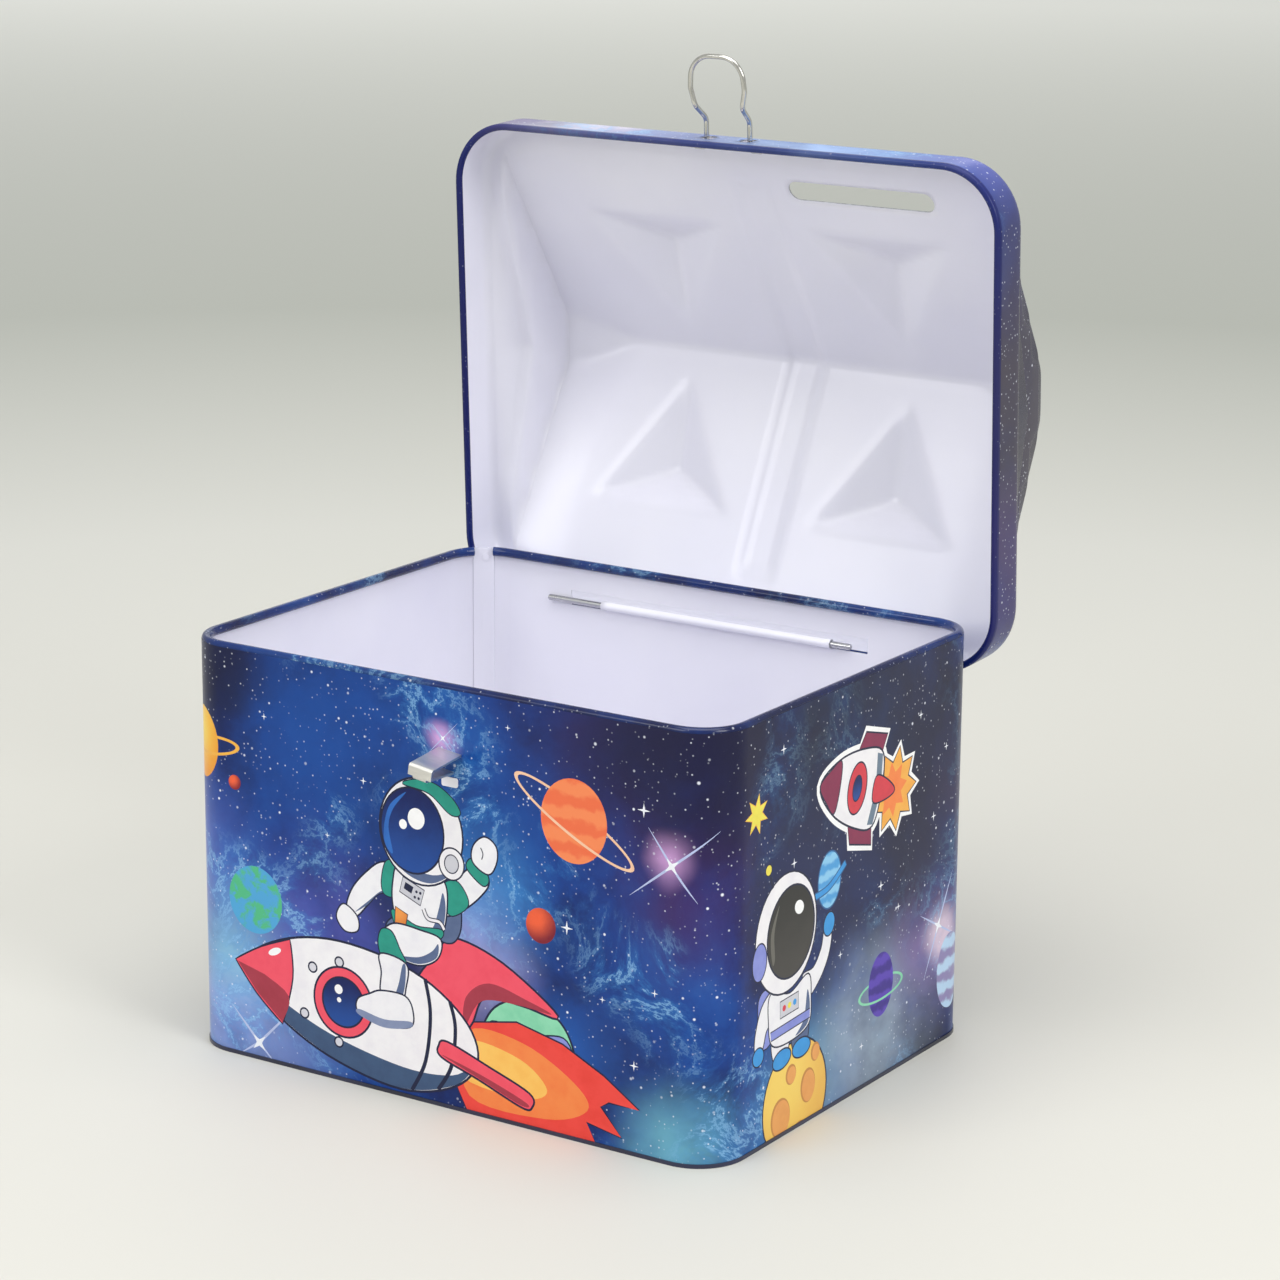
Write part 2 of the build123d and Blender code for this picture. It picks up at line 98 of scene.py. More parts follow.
# --- node helpers --------------------------------------------------------------------------
class Nodes:
    """A material's node tree, with short calls for the nodes that these finishes use."""

    def __init__(self, name):
        self.material = bpy.data.materials.new(name)
        self.material.use_nodes = True
        self.tree = self.material.node_tree
        self.shader = self.tree.nodes["Principled BSDF"]

    def add(self, kind, **settings):
        node = self.tree.nodes.new(kind)
        for key, value in settings.items():
            setattr(node, key, value)
        return node

    def link(self, source, target):
        if isinstance(source, bpy.types.NodeSocket):
            self.tree.links.new(source, target)
        else:
            target.default_value = source

    def set(self, name, value):
        self.link(value, self.shader.inputs[name])

    def coords(self, kind="Object"):
        return self.add("ShaderNodeTexCoord").outputs[kind]

    def uv(self, layer):
        return self.add("ShaderNodeUVMap", uv_map=layer).outputs["UV"]

    def split(self, vector):
        node = self.add("ShaderNodeSeparateXYZ")
        self.link(vector, node.inputs[0])
        return node.outputs["X"], node.outputs["Y"], node.outputs["Z"]

    def join(self, x, y, z):
        node = self.add("ShaderNodeCombineXYZ")
        for socket, value in zip(node.inputs, (x, y, z)):
            self.link(value, socket)
        return node.outputs[0]

    def math(self, operation, *values, clamp=False):
        node = self.add("ShaderNodeMath", operation=operation, use_clamp=clamp)
        for socket, value in zip(node.inputs, values):
            self.link(value, socket)
        return node.outputs[0]

    def above(self, value, edge):
        return self.math("GREATER_THAN", value, edge)

    def below(self, value, edge):
        return self.math("LESS_THAN", value, edge)

    def times(self, first, *others):
        for other in others:
            first = self.math("MULTIPLY", first, other)
        return first

    def without(self, value):
        return self.math("SUBTRACT", 1.0, value)

    def vmath(self, operation, *values, scale=None):
        node = self.add("ShaderNodeVectorMath", operation=operation)
        for socket, value in zip(node.inputs, values):
            self.link(value, socket)
        if scale is not None:
            self.link(scale, node.inputs["Scale"])
        out = "Value" if operation in ("LENGTH", "DISTANCE", "DOT_PRODUCT") else "Vector"
        return node.outputs[out]

    def noise(self, vector, scale, detail=4.0, rough=0.5, distortion=0.0, out="Fac"):
        node = self.add("ShaderNodeTexNoise")
        self.link(vector, node.inputs["Vector"])
        node.inputs["Scale"].default_value = scale
        node.inputs["Detail"].default_value = detail
        node.inputs["Roughness"].default_value = rough
        node.inputs["Distortion"].default_value = distortion
        return node.outputs[out]

    def spread(self, value, low, high, to_low=0.0, to_high=1.0, smooth=True):
        node = self.add("ShaderNodeMapRange", clamp=True)
        node.interpolation_type = "SMOOTHSTEP" if smooth else "LINEAR"
        self.link(value, node.inputs["Value"])
        for name, number in zip(("From Min", "From Max", "To Min", "To Max"), (low, high, to_low, to_high)):
            self.link(number, node.inputs[name])
        return node.outputs["Result"]

    def ramp(self, value, stops):
        node = self.add("ShaderNodeValToRGB")
        elements = node.color_ramp.elements
        while len(elements) < len(stops):
            elements.new(1.0)
        for element, (place, colour) in zip(elements, stops):
            element.position = place
            element.color = (*colour, 1.0)
        self.link(value, node.inputs[0])
        return node.outputs["Color"]

    def mix(self, fac, a, b, blend="MIX"):
        node = self.add("ShaderNodeMix", data_type="RGBA", blend_type=blend)
        self.link(fac, node.inputs["Factor"])
        for socket, value in zip((node.inputs[6], node.inputs[7]), (a, b)):
            self.link((*value, 1.0) if isinstance(value, tuple) else value, socket)
        return node.outputs[2]

    def bump(self, height, strength, distance):
        node = self.add("ShaderNodeBump")
        node.inputs["Strength"].default_value = strength
        node.inputs["Distance"].default_value = distance
        self.link(height, node.inputs["Height"])
        self.link(node.outputs[0], self.shader.inputs["Normal"])


def rgb(text):
    """A linear colour from the six hex digits of an ink."""
    def linear(c):
        return c / 12.92 if c <= 0.04045 else ((c + 0.055) / 1.055) ** 2.4
    return tuple(linear(int(text[i:i + 2], 16) / 255) for i in (0, 2, 4))


# --- finishes ------------------------------------------------------------------------------
def stars(n, where, cells, size, bright):
    """Small round stars: one in some of the cells of a Voronoi pattern."""
    node = n.add("ShaderNodeTexVoronoi", feature="F1")
    n.link(where, node.inputs["Vector"])
    node.inputs["Scale"].default_value = cells
    lit = n.above(n.split(node.outputs["Color"])[0], bright)
    shade = n.spread(n.split(node.outputs["Color"])[1], 0.0, 1.0, 0.3, 1.0)
    dot = n.spread(node.outputs["Distance"], size, size * 0.35)
    return n.times(lit, dot, shade)


def galaxy(n, where, glows=(), shadows=(), warmth=0.0):
    """The printed night sky: dark blue clouds, pale streaks and stars, with soft patches at given places,
    which on the lid are painted light and painted shade.

    where is in metres, and the places and radii of the glows and shadows are in millimetres.
    """
    warp = n.noise(where, 14.0, 3.0, 0.5, out="Color")
    bent = n.vmath("ADD", where, n.vmath("SCALE", n.vmath("SUBTRACT", warp, (0.5, 0.5, 0.5)), scale=0.03))
    cloud = n.noise(bent, 17.0, 7.0, 0.62)
    sky = n.ramp(cloud, [
        (0.30, rgb("050822")), (0.42, rgb("081a54")), (0.52, rgb("0b3886")),
        (0.62, rgb("1350a2")), (0.80, rgb("387cc6")),
    ])
    tint = n.noise(bent, 8.0, 3.0, 0.5)
    sky = n.mix(n.spread(tint, 0.55, 0.74, 0.0, 0.6 + warmth), sky, rgb("2a1f52"))
    dark = n.noise(bent, 11.0, 5.0, 0.6, 0.4)
    sky = n.mix(n.spread(dark, 0.52, 0.68, 0.0, 0.75), sky, rgb("080b26"))
    # the glows: printed glows on the wall, painted light on the lid
    for place, radius, colour, strength in glows:
        far = n.vmath("DISTANCE", bent, Vector(place).to_3d() * MM)
        soft = n.spread(far, radius * MM, 0.0, 0.0, strength)
        patch = n.spread(n.noise(bent, 30.0, 5.0, 0.6), 0.3, 0.62, 0.35, 1.0)
        sky = n.mix(n.times(soft, patch), sky, rgb(colour))
    crack = n.math("ABSOLUTE", n.math("SUBTRACT", n.noise(bent, 54.0, 8.0, 0.7, 0.35), 0.5))
    veil = n.spread(n.noise(where, 20.0, 2.0), 0.47, 0.62)
    wisp = n.times(n.spread(crack, 0.024, 0.0), veil)
    halo = n.times(n.spread(crack, 0.09, 0.0), veil)
    sky = n.mix(n.times(halo, 0.35), sky, rgb("3d8fd8"))
    sky = n.mix(n.times(wisp, 0.5), sky, rgb("9fd0f4"))
    # the shadows: printed dark patches on the wall, painted shade on the lid
    for place, radius, colour, strength in shadows:
        radius = radius * MM
        far = n.vmath("DISTANCE", bent, Vector(place).to_3d() * MM)
        patch = n.spread(n.noise(bent, 24.0, 4.0, 0.6), 0.3, 0.6, 0.7, 1.0)
        soft = n.times(n.spread(far, radius, radius * 0.3, 0.0, strength), patch)
        sky = n.mix(soft, sky, rgb(colour))
    speck = n.math("MAXIMUM", stars(n, where, 420.0, 0.17, 0.72), stars(n, where, 200.0, 0.10, 0.80))
    speck = n.math("MAXIMUM", speck, n.times(stars(n, where, 900.0, 0.24, 0.55), 0.65))
    return n.mix(speck, sky, rgb("eef2ff"))


def varnish(n, rough=0.3):
    """The clear coat over the print, with the faint dimples of thin rolled sheet."""
    n.set("Roughness", rough)
    n.set("Specular IOR Level", 0.22)
    n.set("Coat Weight", 0.05)
    n.set("Coat Roughness", 0.1)
    n.bump(n.noise(n.coords(), 90.0, 2.0), 0.06, 0.0004)


# Soft patches: (place, radius, colour, strength). On the wall they are part of the sky print, and a place is
# (along, up).
FRONT_GLOWS = [
    ((-28, 74), 45, "0f4a9c", 0.9),
    ((8, 70), 40, "124c9e", 0.8),
    ((40, 90), 34, "2a2358", 0.9),
    ((62, 60), 30, "40265f", 0.85),
    ((58.9, 65.2), 8, "e2aeea", 1.0),
    ((-58, 10), 40, "93a9e6", 0.95),
    ((-70, 40), 30, "6f7cd0", 0.8),
    ((-54, 26), 20, "8ecbe6", 0.7),
    ((-30, 36), 26, "5a5cb8", 0.8),
    ((8, 36), 22, "bdb4ea", 0.9),
    ((14, 50), 20, "4a9ae0", 0.7),
    ((30, 20), 20, "1c5cb0", 0.8),
    ((1, 81), 6.5, "f0b6ee", 0.95),
    ((50, 30), 30, "1d4c9c", 0.7),
    ((60, 4), 22, "6fb4cc", 0.9),
    ((100, 6), 30, "5fa6c4", 0.85),
    ((130, 10), 34, "a3b6cc", 0.9),
    ((156, 30), 30, "8a72a8", 0.9),
    ((158.8, 28.5), 10, "f2dff0", 1.0),
    ((164, 60), 22, "5c4c7c", 0.8),
]
FRONT_SHADOWS = [
    ((-64, 94), 24, "0d1238", 0.85),
    ((62, 90), 34, "17163a", 0.9),
    ((120, 86), 60, "161730", 0.95),
    ((148, 62), 40, "191a36", 0.9),
    ((106, 52), 32, "1a234e", 0.8),
]
# Painted shade on the open lid: dark patches on its left and right sides. A place on the lid is (x, y, z).
LID_SHADOWS = [
    ((-74, 60, 150), 60, "12142e", 0.95),
    ((70, 66, 172), 34, "4a4668", 0.95),
    ((72, 70, 140), 50, "4a4552", 0.97),
    ((73, 62, 104), 30, "4e426c", 0.95),
]
# Painted light on the open lid: pale patches that paint the light and reflections falling on its top edge. A
# place on the lid is (x, y, z).
LID_PAINTED_LIGHT = [
    ((20, 62, 201), 50, "9cbcf0", 0.95),
    ((62, 62, 199), 22, "6a72c4", 0.9),
    ((-34, 60, 201), 44, "ece2f0", 0.95),
    ((-62, 60, 196), 16, "a58cc0", 0.85),
]


def print_background():
    """The night sky on the box's wall, laid out along the sheet before it was bent."""
    n = Nodes("print_sky")
    n.set("Base Color", galaxy(n, n.uv("sheet"), FRONT_GLOWS, FRONT_SHADOWS))
    varnish(n)
    return n.material


def white_lacquer_colour(n, where):
    """The white inside coat: a cool white with very faint clouding."""
    return n.ramp(n.noise(where, 22.0, 3.0), [(0.3, rgb("e7e6f3")), (0.7, rgb("f0eff8"))])


def lacquer(name="white_lacquer"):
    n = Nodes(name)
    n.set("Base Color", white_lacquer_colour(n, n.coords()))
    n.set("Roughness", 0.27)
    n.set("Coat Weight", 0.2)
    n.set("Coat Roughness", 0.14)
    n.bump(n.noise(n.coords(), 60.0, 3.0), 0.05, 0.0004)
    return n.material


def lid_print():
    n = Nodes("lid_sky")
    where = n.coords()
    # the lid's sky print, with painted light and painted shade mixed in
    sky = galaxy(n, where, LID_PAINTED_LIGHT, LID_SHADOWS, 0.15)
    up = Vector((0.0, sin(OPEN_ANGLE), cos(OPEN_ANGLE)))
    start = up.dot(PIN) + LID_RIM_Z - PIN.z
    height = n.math("SUBTRACT", n.vmath("DOT_PRODUCT", where, tuple(up)), start * MM)
    edge = n.spread(height, 2 * LID_CURL * MM, 1.4 * LID_CURL * MM, 0.0, 0.8)
    n.set("Base Color", n.mix(edge, sky, rgb("151a5c")))
    varnish(n, 0.26)
    return n.material


def wall_finish():
    """The box's sheet: print on its outer skin and its rolled rim, white lacquer inside."""
    n = Nodes("wall_sheet")
    where = n.coords()
    x, y, z = n.split(where)
    half = Vector((BOX_WIDTH / 2 - BOX_CORNER, BOX_DEPTH / 2 - BOX_CORNER)) * MM
    past_x = n.math("MAXIMUM", n.math("SUBTRACT", n.math("ABSOLUTE", x), half.x), 0.0)
    past_y = n.math("MAXIMUM", n.math("SUBTRACT", n.math("ABSOLUTE", y), half.y), 0.0)
    reach = n.vmath("LENGTH", n.join(past_x, past_y, 0.0))
    skin = n.above(reach, (BOX_CORNER - SHEET / 2) * MM)
    rim = n.above(z, (BOX_HEIGHT - BOX_CURL - RIM_LAP) * MM)
    seam = n.times(n.above(y, SEAM_FRONT * MM), n.below(x, SEAM_RIGHT * MM), n.above(x, SEAM_LEFT * MM))
    rim = n.times(rim, n.without(seam))
    left, right, low, high = HINGE_SLOT
    in_z = n.math("COMPARE", z, (low + high) / 2 * MM, ((high - low) / 2 + SLOT_MARGIN_Z) * MM)
    in_x = n.math("COMPARE", x, (left + right) / 2 * MM, ((right - left) / 2 + SLOT_MARGIN_X) * MM)
    slot = n.times(n.above(y, 0.0), in_z, in_x)
    tongue = n.below(y, -(BOX_DEPTH / 2 + TONGUE_PROUD) * MM)
    printed = n.times(n.math("MAXIMUM", skin, rim), n.without(slot), n.without(tongue))
    sky = n.mix(0.45, galaxy(n, where), rgb("0a0e30"))
    n.set("Base Color", n.mix(printed, white_lacquer_colour(n, where), sky))
    n.set("Roughness", n.spread(printed, 0.0, 1.0, 0.17, 0.22))
    n.set("Specular IOR Level", n.spread(printed, 0.0, 1.0, 0.5, 0.35))
    n.set("Coat Weight", 0.2)
    n.set("Coat Roughness", 0.08)
    n.bump(n.noise(where, 60.0, 3.0), 0.05, 0.0004)
    return n.material


def base_finish():
    """The base: white lacquer inside the box, dark on the hem and underneath."""
    n = Nodes("base_sheet")
    where = n.coords()
    z = n.split(where)[2]
    inside = n.above(z, BASE_WHITE * MM)
    dark = n.ramp(n.noise(where, 40.0, 3.0), [(0.35, rgb("14172e")), (0.7, rgb("22264a"))])
    n.set("Base Color", n.mix(inside, dark, white_lacquer_colour(n, where)))
    n.set("Roughness", n.spread(inside, 0.0, 1.0, 0.35, 0.17))
    n.set("Coat Weight", 0.3)
    n.set("Coat Roughness", 0.1)
    n.bump(n.noise(where, 60.0, 3.0), 0.05, 0.0004)
    return n.material


def steel(name, colour, rough, along):
    """Bright steel with fine drawing lines along one axis."""
    n = Nodes(name)
    stretch = n.vmath("MULTIPLY", n.coords(), along)
    lines = n.noise(stretch, 1.0, 4.0, 0.6)
    n.set("Base Color", n.mix(n.spread(lines, 0.35, 0.7), colour, tuple(c * 0.82 for c in colour)))
    n.set("Metallic", 1.0)
    n.set("Roughness", n.spread(lines, 0.3, 0.7, rough * 0.8, rough * 1.3))
    n.bump(lines, 0.04, 0.0001)
    return n.material


def cut_edge():
    """The bare steel at a cut edge of the tinplate."""
    n = Nodes("cut_edge")
    where = n.coords()
    n.set("Base Color", n.ramp(n.noise(where, 900.0, 3.0), [(0.3, rgb("8f9096")), (0.7, rgb("b9bac0"))]))
    n.set("Metallic", 0.8)
    n.set("Roughness", 0.4)
    n.bump(n.noise(where, 1500.0, 2.0), 0.2, 0.00005)
    return n.material


def ink(name, colour, second=None, style="plain"):
    """An ink of the printed picture. The local map runs from -1 to 1 across a shape."""
    n = Nodes("ink_" + name)
    base = rgb(colour)
    other = rgb(second) if second else tuple(c * 0.86 for c in base)
    local = n.uv("local")
    y = n.split(local)[1]
    grain = n.noise(n.uv("sheet"), 220.0, 4.0, 0.6)
    if style == "plain":
        fac = n.spread(grain, 0.35, 0.75, 0.0, 0.5)
    elif style == "ball":
        fac = n.spread(n.vmath("DISTANCE", local, (-0.35, 0.4, 0.0)), 0.2, 1.5)
        fac = n.math("ADD", fac, n.spread(grain, 0.3, 0.7, -0.06, 0.06), clamp=True)
    elif style == "fall":
        fac = n.spread(n.math("ADD", y, n.spread(grain, 0.3, 0.7, -0.1, 0.1)), 1.0, -1.0)
    elif style == "bands":
        bend = n.math("ADD", y, n.times(n.noise(local, 2.2, 4.0), 0.5))
        fac = n.spread(n.math("SINE", n.times(bend, 11.0)), -0.6, 0.8)
    else:
        fac = n.spread(n.noise(local, 1.6, 5.0, 0.6, 0.4), 0.46, 0.56)
    n.set("Base Color", n.mix(fac, base, other))
    varnish(n)
    return n.material


# --- meshes --------------------------------------------------------------------------------
def new_object(name, verts, faces, materials, indices):
    """A smooth-shaded object from points in millimetres, with each face's material number."""
    mesh = bpy.data.meshes.new(name)
    mesh.from_pydata([Vector(v) * MM for v in verts], [], faces)
    for material in materials:
        mesh.materials.append(material)
    mesh.polygons.foreach_set("material_index", indices)
    mesh.polygons.foreach_set("use_smooth", [True] * len(faces))
    mesh.update()
    obj = bpy.data.objects.new(name, mesh)
    bpy.context.scene.collection.objects.link(obj)
    return obj


# --- the printed picture -------------------------------------------------------------------
SIDE_STRAIGHT = BOX_DEPTH - 2 * BOX_CORNER
FRONT_STRAIGHT = BOX_WIDTH - 2 * BOX_CORNER
CORNER_ARC = BOX_CORNER * pi / 2
SIDE_MIDDLE = FRONT_STRAIGHT / 2 + CORNER_ARC + SIDE_STRAIGHT / 2
BACK_MIDDLE = SIDE_MIDDLE + SIDE_STRAIGHT / 2 + CORNER_ARC + FRONT_STRAIGHT / 2


def wrap(u, out=0.0):
    """The point of the wall at a distance u round it from the middle of the front, to the right."""
    if u > BACK_MIDDLE:
        u -= 2 * BACK_MIDDLE
    sign = 1 if u >= 0 else -1
    u = abs(u)
    a = FRONT_STRAIGHT / 2
    b = SIDE_STRAIGHT / 2
    r = BOX_CORNER + out
    if u <= a:
        x, y = u, -b - r
    elif u <= a + CORNER_ARC:
        t = (u - a) / BOX_CORNER
        x, y = a + r * sin(t), -b - r * cos(t)
    elif u <= a + CORNER_ARC + SIDE_STRAIGHT:
        x, y = a + r, u - a - CORNER_ARC - b
    elif u <= a + 2 * CORNER_ARC + SIDE_STRAIGHT:
        t = (u - a - CORNER_ARC - SIDE_STRAIGHT) / BOX_CORNER
        x, y = a + r * cos(t), b + r * sin(t)
    else:
        x, y = BACK_MIDDLE - u, b + r
    return sign * x, y


def ellipse(x, y, rx, ry, turn=0.0, steps=40):
    """The outline of an ellipse, turned by some degrees."""
    turn = radians(turn)
    points = []
    for k in range(steps):
        a = 2 * pi * k / steps
        px, py = rx * cos(a), ry * sin(a)
        points.append((x + px * cos(turn) - py * sin(turn), y + px * sin(turn) + py * cos(turn)))
    return points


def spline(p0, p1, p2, p3, steps):
    """Points of a Catmull-Rom curve, from its second corner to just before its third."""
    return [tuple(
        0.5 * (2 * b + (c - a) * t + (2 * a - 5 * b + 4 * c - d) * t ** 2
               + (3 * b - a - 3 * c + d) * t ** 3)
        for a, b, c, d in zip(p0, p1, p2, p3)
    ) for t in (k / steps for k in range(steps))]


def blob(points, steps=6):
    """A smooth closed outline through a few points."""
    out = []
    count = len(points)
    for i in range(count):
        out += spline(*(points[(i + k - 1) % count] for k in range(4)), steps)
    return out


def curve(points, steps=8):
    """A smooth open line through a few points."""
    ends = [points[0], *points, points[-1]]
    out = []
    for i in range(len(points) - 1):
        out += spline(*ends[i:i + 4], steps)
    return out + [points[-1]]


def stroke(points, width, taper=False):
    """The outline of a line of the given width, with round or pointed ends."""
    left, right = [], []
    last = len(points) - 1
    for i, (x, y) in enumerate(points):
        a = points[max(i - 1, 0)]
        b = points[min(i + 1, last)]
        dx, dy = b[0] - a[0], b[1] - a[1]
        size = hypot(dx, dy) or 1.0
        half = width / 2 * (sin(pi * (i + 0.15) / (last + 0.3)) if taper else 1.0)
        left.append((x - dy / size * half, y + dx / size * half))
        right.append((x + dy / size * half, y - dx / size * half))
    return left + right[::-1]


def star(x, y, outer, inner, points, turn=90.0):
    """The outline of a star with its first point at an angle in degrees."""
    out = []
    for k in range(2 * points):
        r = outer if k % 2 == 0 else inner
        a = radians(turn) + pi * k / points
        out.append((x + r * cos(a), y + r * sin(a)))
    return out


def grown(points, by):
    """The outline moved outwards by a small distance, whichever way round it runs."""
    area = sum(a[0] * b[1] - b[0] * a[1] for a, b in zip(points, points[1:] + points[:1]))
    sign = 1 if area > 0 else -1
    out = []
    for i, (x, y) in enumerate(points):
        (ax, ay), (bx, by_) = points[i - 1], points[(i + 1) % len(points)]
        dx, dy = bx - ax, by_ - ay
        size = hypot(dx, dy) or 1.0
        out.append((x + sign * dy / size * by, y - sign * dx / size * by))
    return out


class Picture:
    """Flat shapes in paint order, each with its ink and its own local map."""

    def __init__(self):
        self.shapes = []
        self.place = Matrix.Identity(3)

    def move_to(self, x, y, scale=1.0, turn=0.0):
        """The shapes that follow are drawn in a frame of their own, here on the sheet."""
        turn = radians(turn)
        self.place = Matrix(((cos(turn) * scale, -sin(turn) * scale, x),
                             (sin(turn) * scale, cos(turn) * scale, y), (0, 0, 1)))

    def fill(self, ink_name, points, line=0.0, contour="line"):
        """A filled shape, with a contour of the given width round it or none."""
        if line:
            self.fill(contour, grown(points, line))
        points = [tuple((self.place @ Vector((px, py, 1)))[:2]) for px, py in points]
        xs, ys = zip(*points)
        centre = ((min(xs) + max(xs)) / 2, (min(ys) + max(ys)) / 2)
        half = max(max(xs) - min(xs), max(ys) - min(ys)) / 2
        self.shapes.append((ink_name, points, centre, half))

    def soft(self, ink_name, points, *contour):
        """A smooth shape through a few points."""
        self.fill(ink_name, blob(points), *contour)

    def oval(self, ink_name, size, *contour):
        self.fill(ink_name, ellipse(*size), *contour)


PICTURE = Picture()
move_to, fill, soft, oval = PICTURE.move_to, PICTURE.fill, PICTURE.soft, PICTURE.oval


def half_ring(colour, ring, start):
    """Half of a flat ring round a planet, from an angle on: (x, y, rx, ry, width, turn)."""
    x, y, rx, ry, width, turn = ring
    t = radians(turn)
    outer, inner = [], []
    for k in range(25):
        a = radians(start + 180 * k / 24)
        for edge, shrink in ((outer, 0.0), (inner, width)):
            px, py = (rx - shrink) * cos(a), (ry - shrink * 0.6) * sin(a)
            edge.append((x + px * cos(t) - py * sin(t), y + px * sin(t) + py * cos(t)))
    fill(colour, outer + inner[::-1])


def ringed_planet(ball_ink, ball, ring_ink, ring):
    """A planet between the far half and the near half of its ring."""
    half_ring(ring_ink, ring, 0)
    oval(ball_ink, ball)
    half_ring(ring_ink, ring, 180)


def sparkle(x, y, size, turn=45.0):
    """A four-pointed gleam: two long thin crossed rays round a small bright centre."""
    for k, length in ((0, size), (90, size * 0.72)):
        a = radians(turn + k)
        dx, dy = length * cos(a), length * sin(a)
        fill("ray", stroke([(x - dx, y - dy), (x - dx / 2, y - dy / 2), (x, y), (x + dx / 2, y + dy / 2),
            (x + dx, y + dy)], size * 0.045, taper=True))
    fill("gleam", star(x, y, size * 0.16, size * 0.05, 4, turn))


def little_star(x, y, size):
    fill("gleam", star(x, y, size, size * 0.22, 4))


def ship():
    """The big rocket: its nose to the left and its flame to the lower right."""
    body = blob([(-39, 1), (-30, 9.5), (-14, 14.5), (6, 14), (20, 8), (25, 0), (20, -8), (6, -13.5),
                 (-14, -12.5), (-30, -7)])
    # flame
    flame = [(22, 7.5), (34, 11.5), (46, 10.5), (57, 7), (66.5, 2.5), (59, 1.8), (57, 0), (63, -5),
             (54, -4.5), (57, -9), (46, -10), (34, -13), (24, -13), (20, -7)]
    fill("flame_red", flame, 0.4)
    soft("flame_orange", [(22, 5.5), (36, 7.5), (50, 3), (54, -2), (44, -7.5), (24, -9)])
    soft("flame_yellow", [(22, 3.4), (36, 3.6), (43.5, -1), (38, -4.8), (22, -5.4)])
    # upper fin, behind the hull
    soft("red", [(8, 11), (12, 20), (16, 25), (29, 23.4), (44, 16.4), (35, 16), (25, 14.5), (21, 6)], 0.5)
    soft("deep_red", [(20.5, 13), (26, 18), (36, 17.4), (42.5, 16.3), (34, 15.6), (24.6, 13.4), (21, 6.4)])
    fill("hull", body, 0.55)
    under = [(-38, 0.4), (-30, -3.5), (-14, -7.5), (6, -8.5), (19, -6), (24.6, -1.5), (20, -8), (6, -13.5),
             (-14, -12.5), (-30, -7)]
    soft("hull_shade", under)
    # nose
    tip, upper, lower = (-41.6, 1.4), (-27.4, 10.6), (-27.4, -9.4)
    nose = [*curve([tip, (-35, 6.4), upper], 4), *curve([upper, (-25.8, 2), lower], 5)[1:],
            *curve([lower, (-35, -4.6), tip], 4)[1:-1]]
    fill("red", nose, 0.4)
    fill("deep_red", [(-41.2, 1.2), *curve([(-33.5, 0.4), (-26.2, -2.6), (-27.4, -9.2)], 4), (-35, -4.4)])
    oval("white", (-31.2, 6.6, 1.9, 0.8, 32))
    # hoops, rivets and the porthole
    fill("line", stroke(curve([(9.5, 13.6), (11.8, 6), (11.8, -5), (9, -13)]), 0.95))
    fill("line", stroke(curve([(16.5, 10.6), (18.6, 5), (18.6, -4), (15.8, -10.5)]), 0.95))
    for x, y in ((-20.5, 6.4), (-13.5, 9.9), (-21.6, -5), (-11.6, -8.6)):
        oval("line", (x, y, 1.35, 1.35, 0, 18))
        oval("rivet", (x, y, 0.95, 0.95, 0, 18))
    oval("red", (-11.4, 1, 7.8, 7.8), 0.5)
    oval("visor", (-11.4, 1, 5.5, 5.5), 0.45)
    oval("white", (-13, 3.6, 1.1, 1.1, 0, 18))
    oval("white", (-12.6, 1.2, 0.6, 0.6, 0, 14))
    # lower fin, in front
    soft("red", [(15, -0.4), (17, 1), (28, -1), (39, -3.4), (40, -6), (37.5, -6.8), (26, -4.4),
        (16, -2.6)], 0.5)
    soft("deep_red", [(15.6, -2.2), (27, -3.4), (38.6, -5.6), (37.2, -6.6), (26, -4.3)])


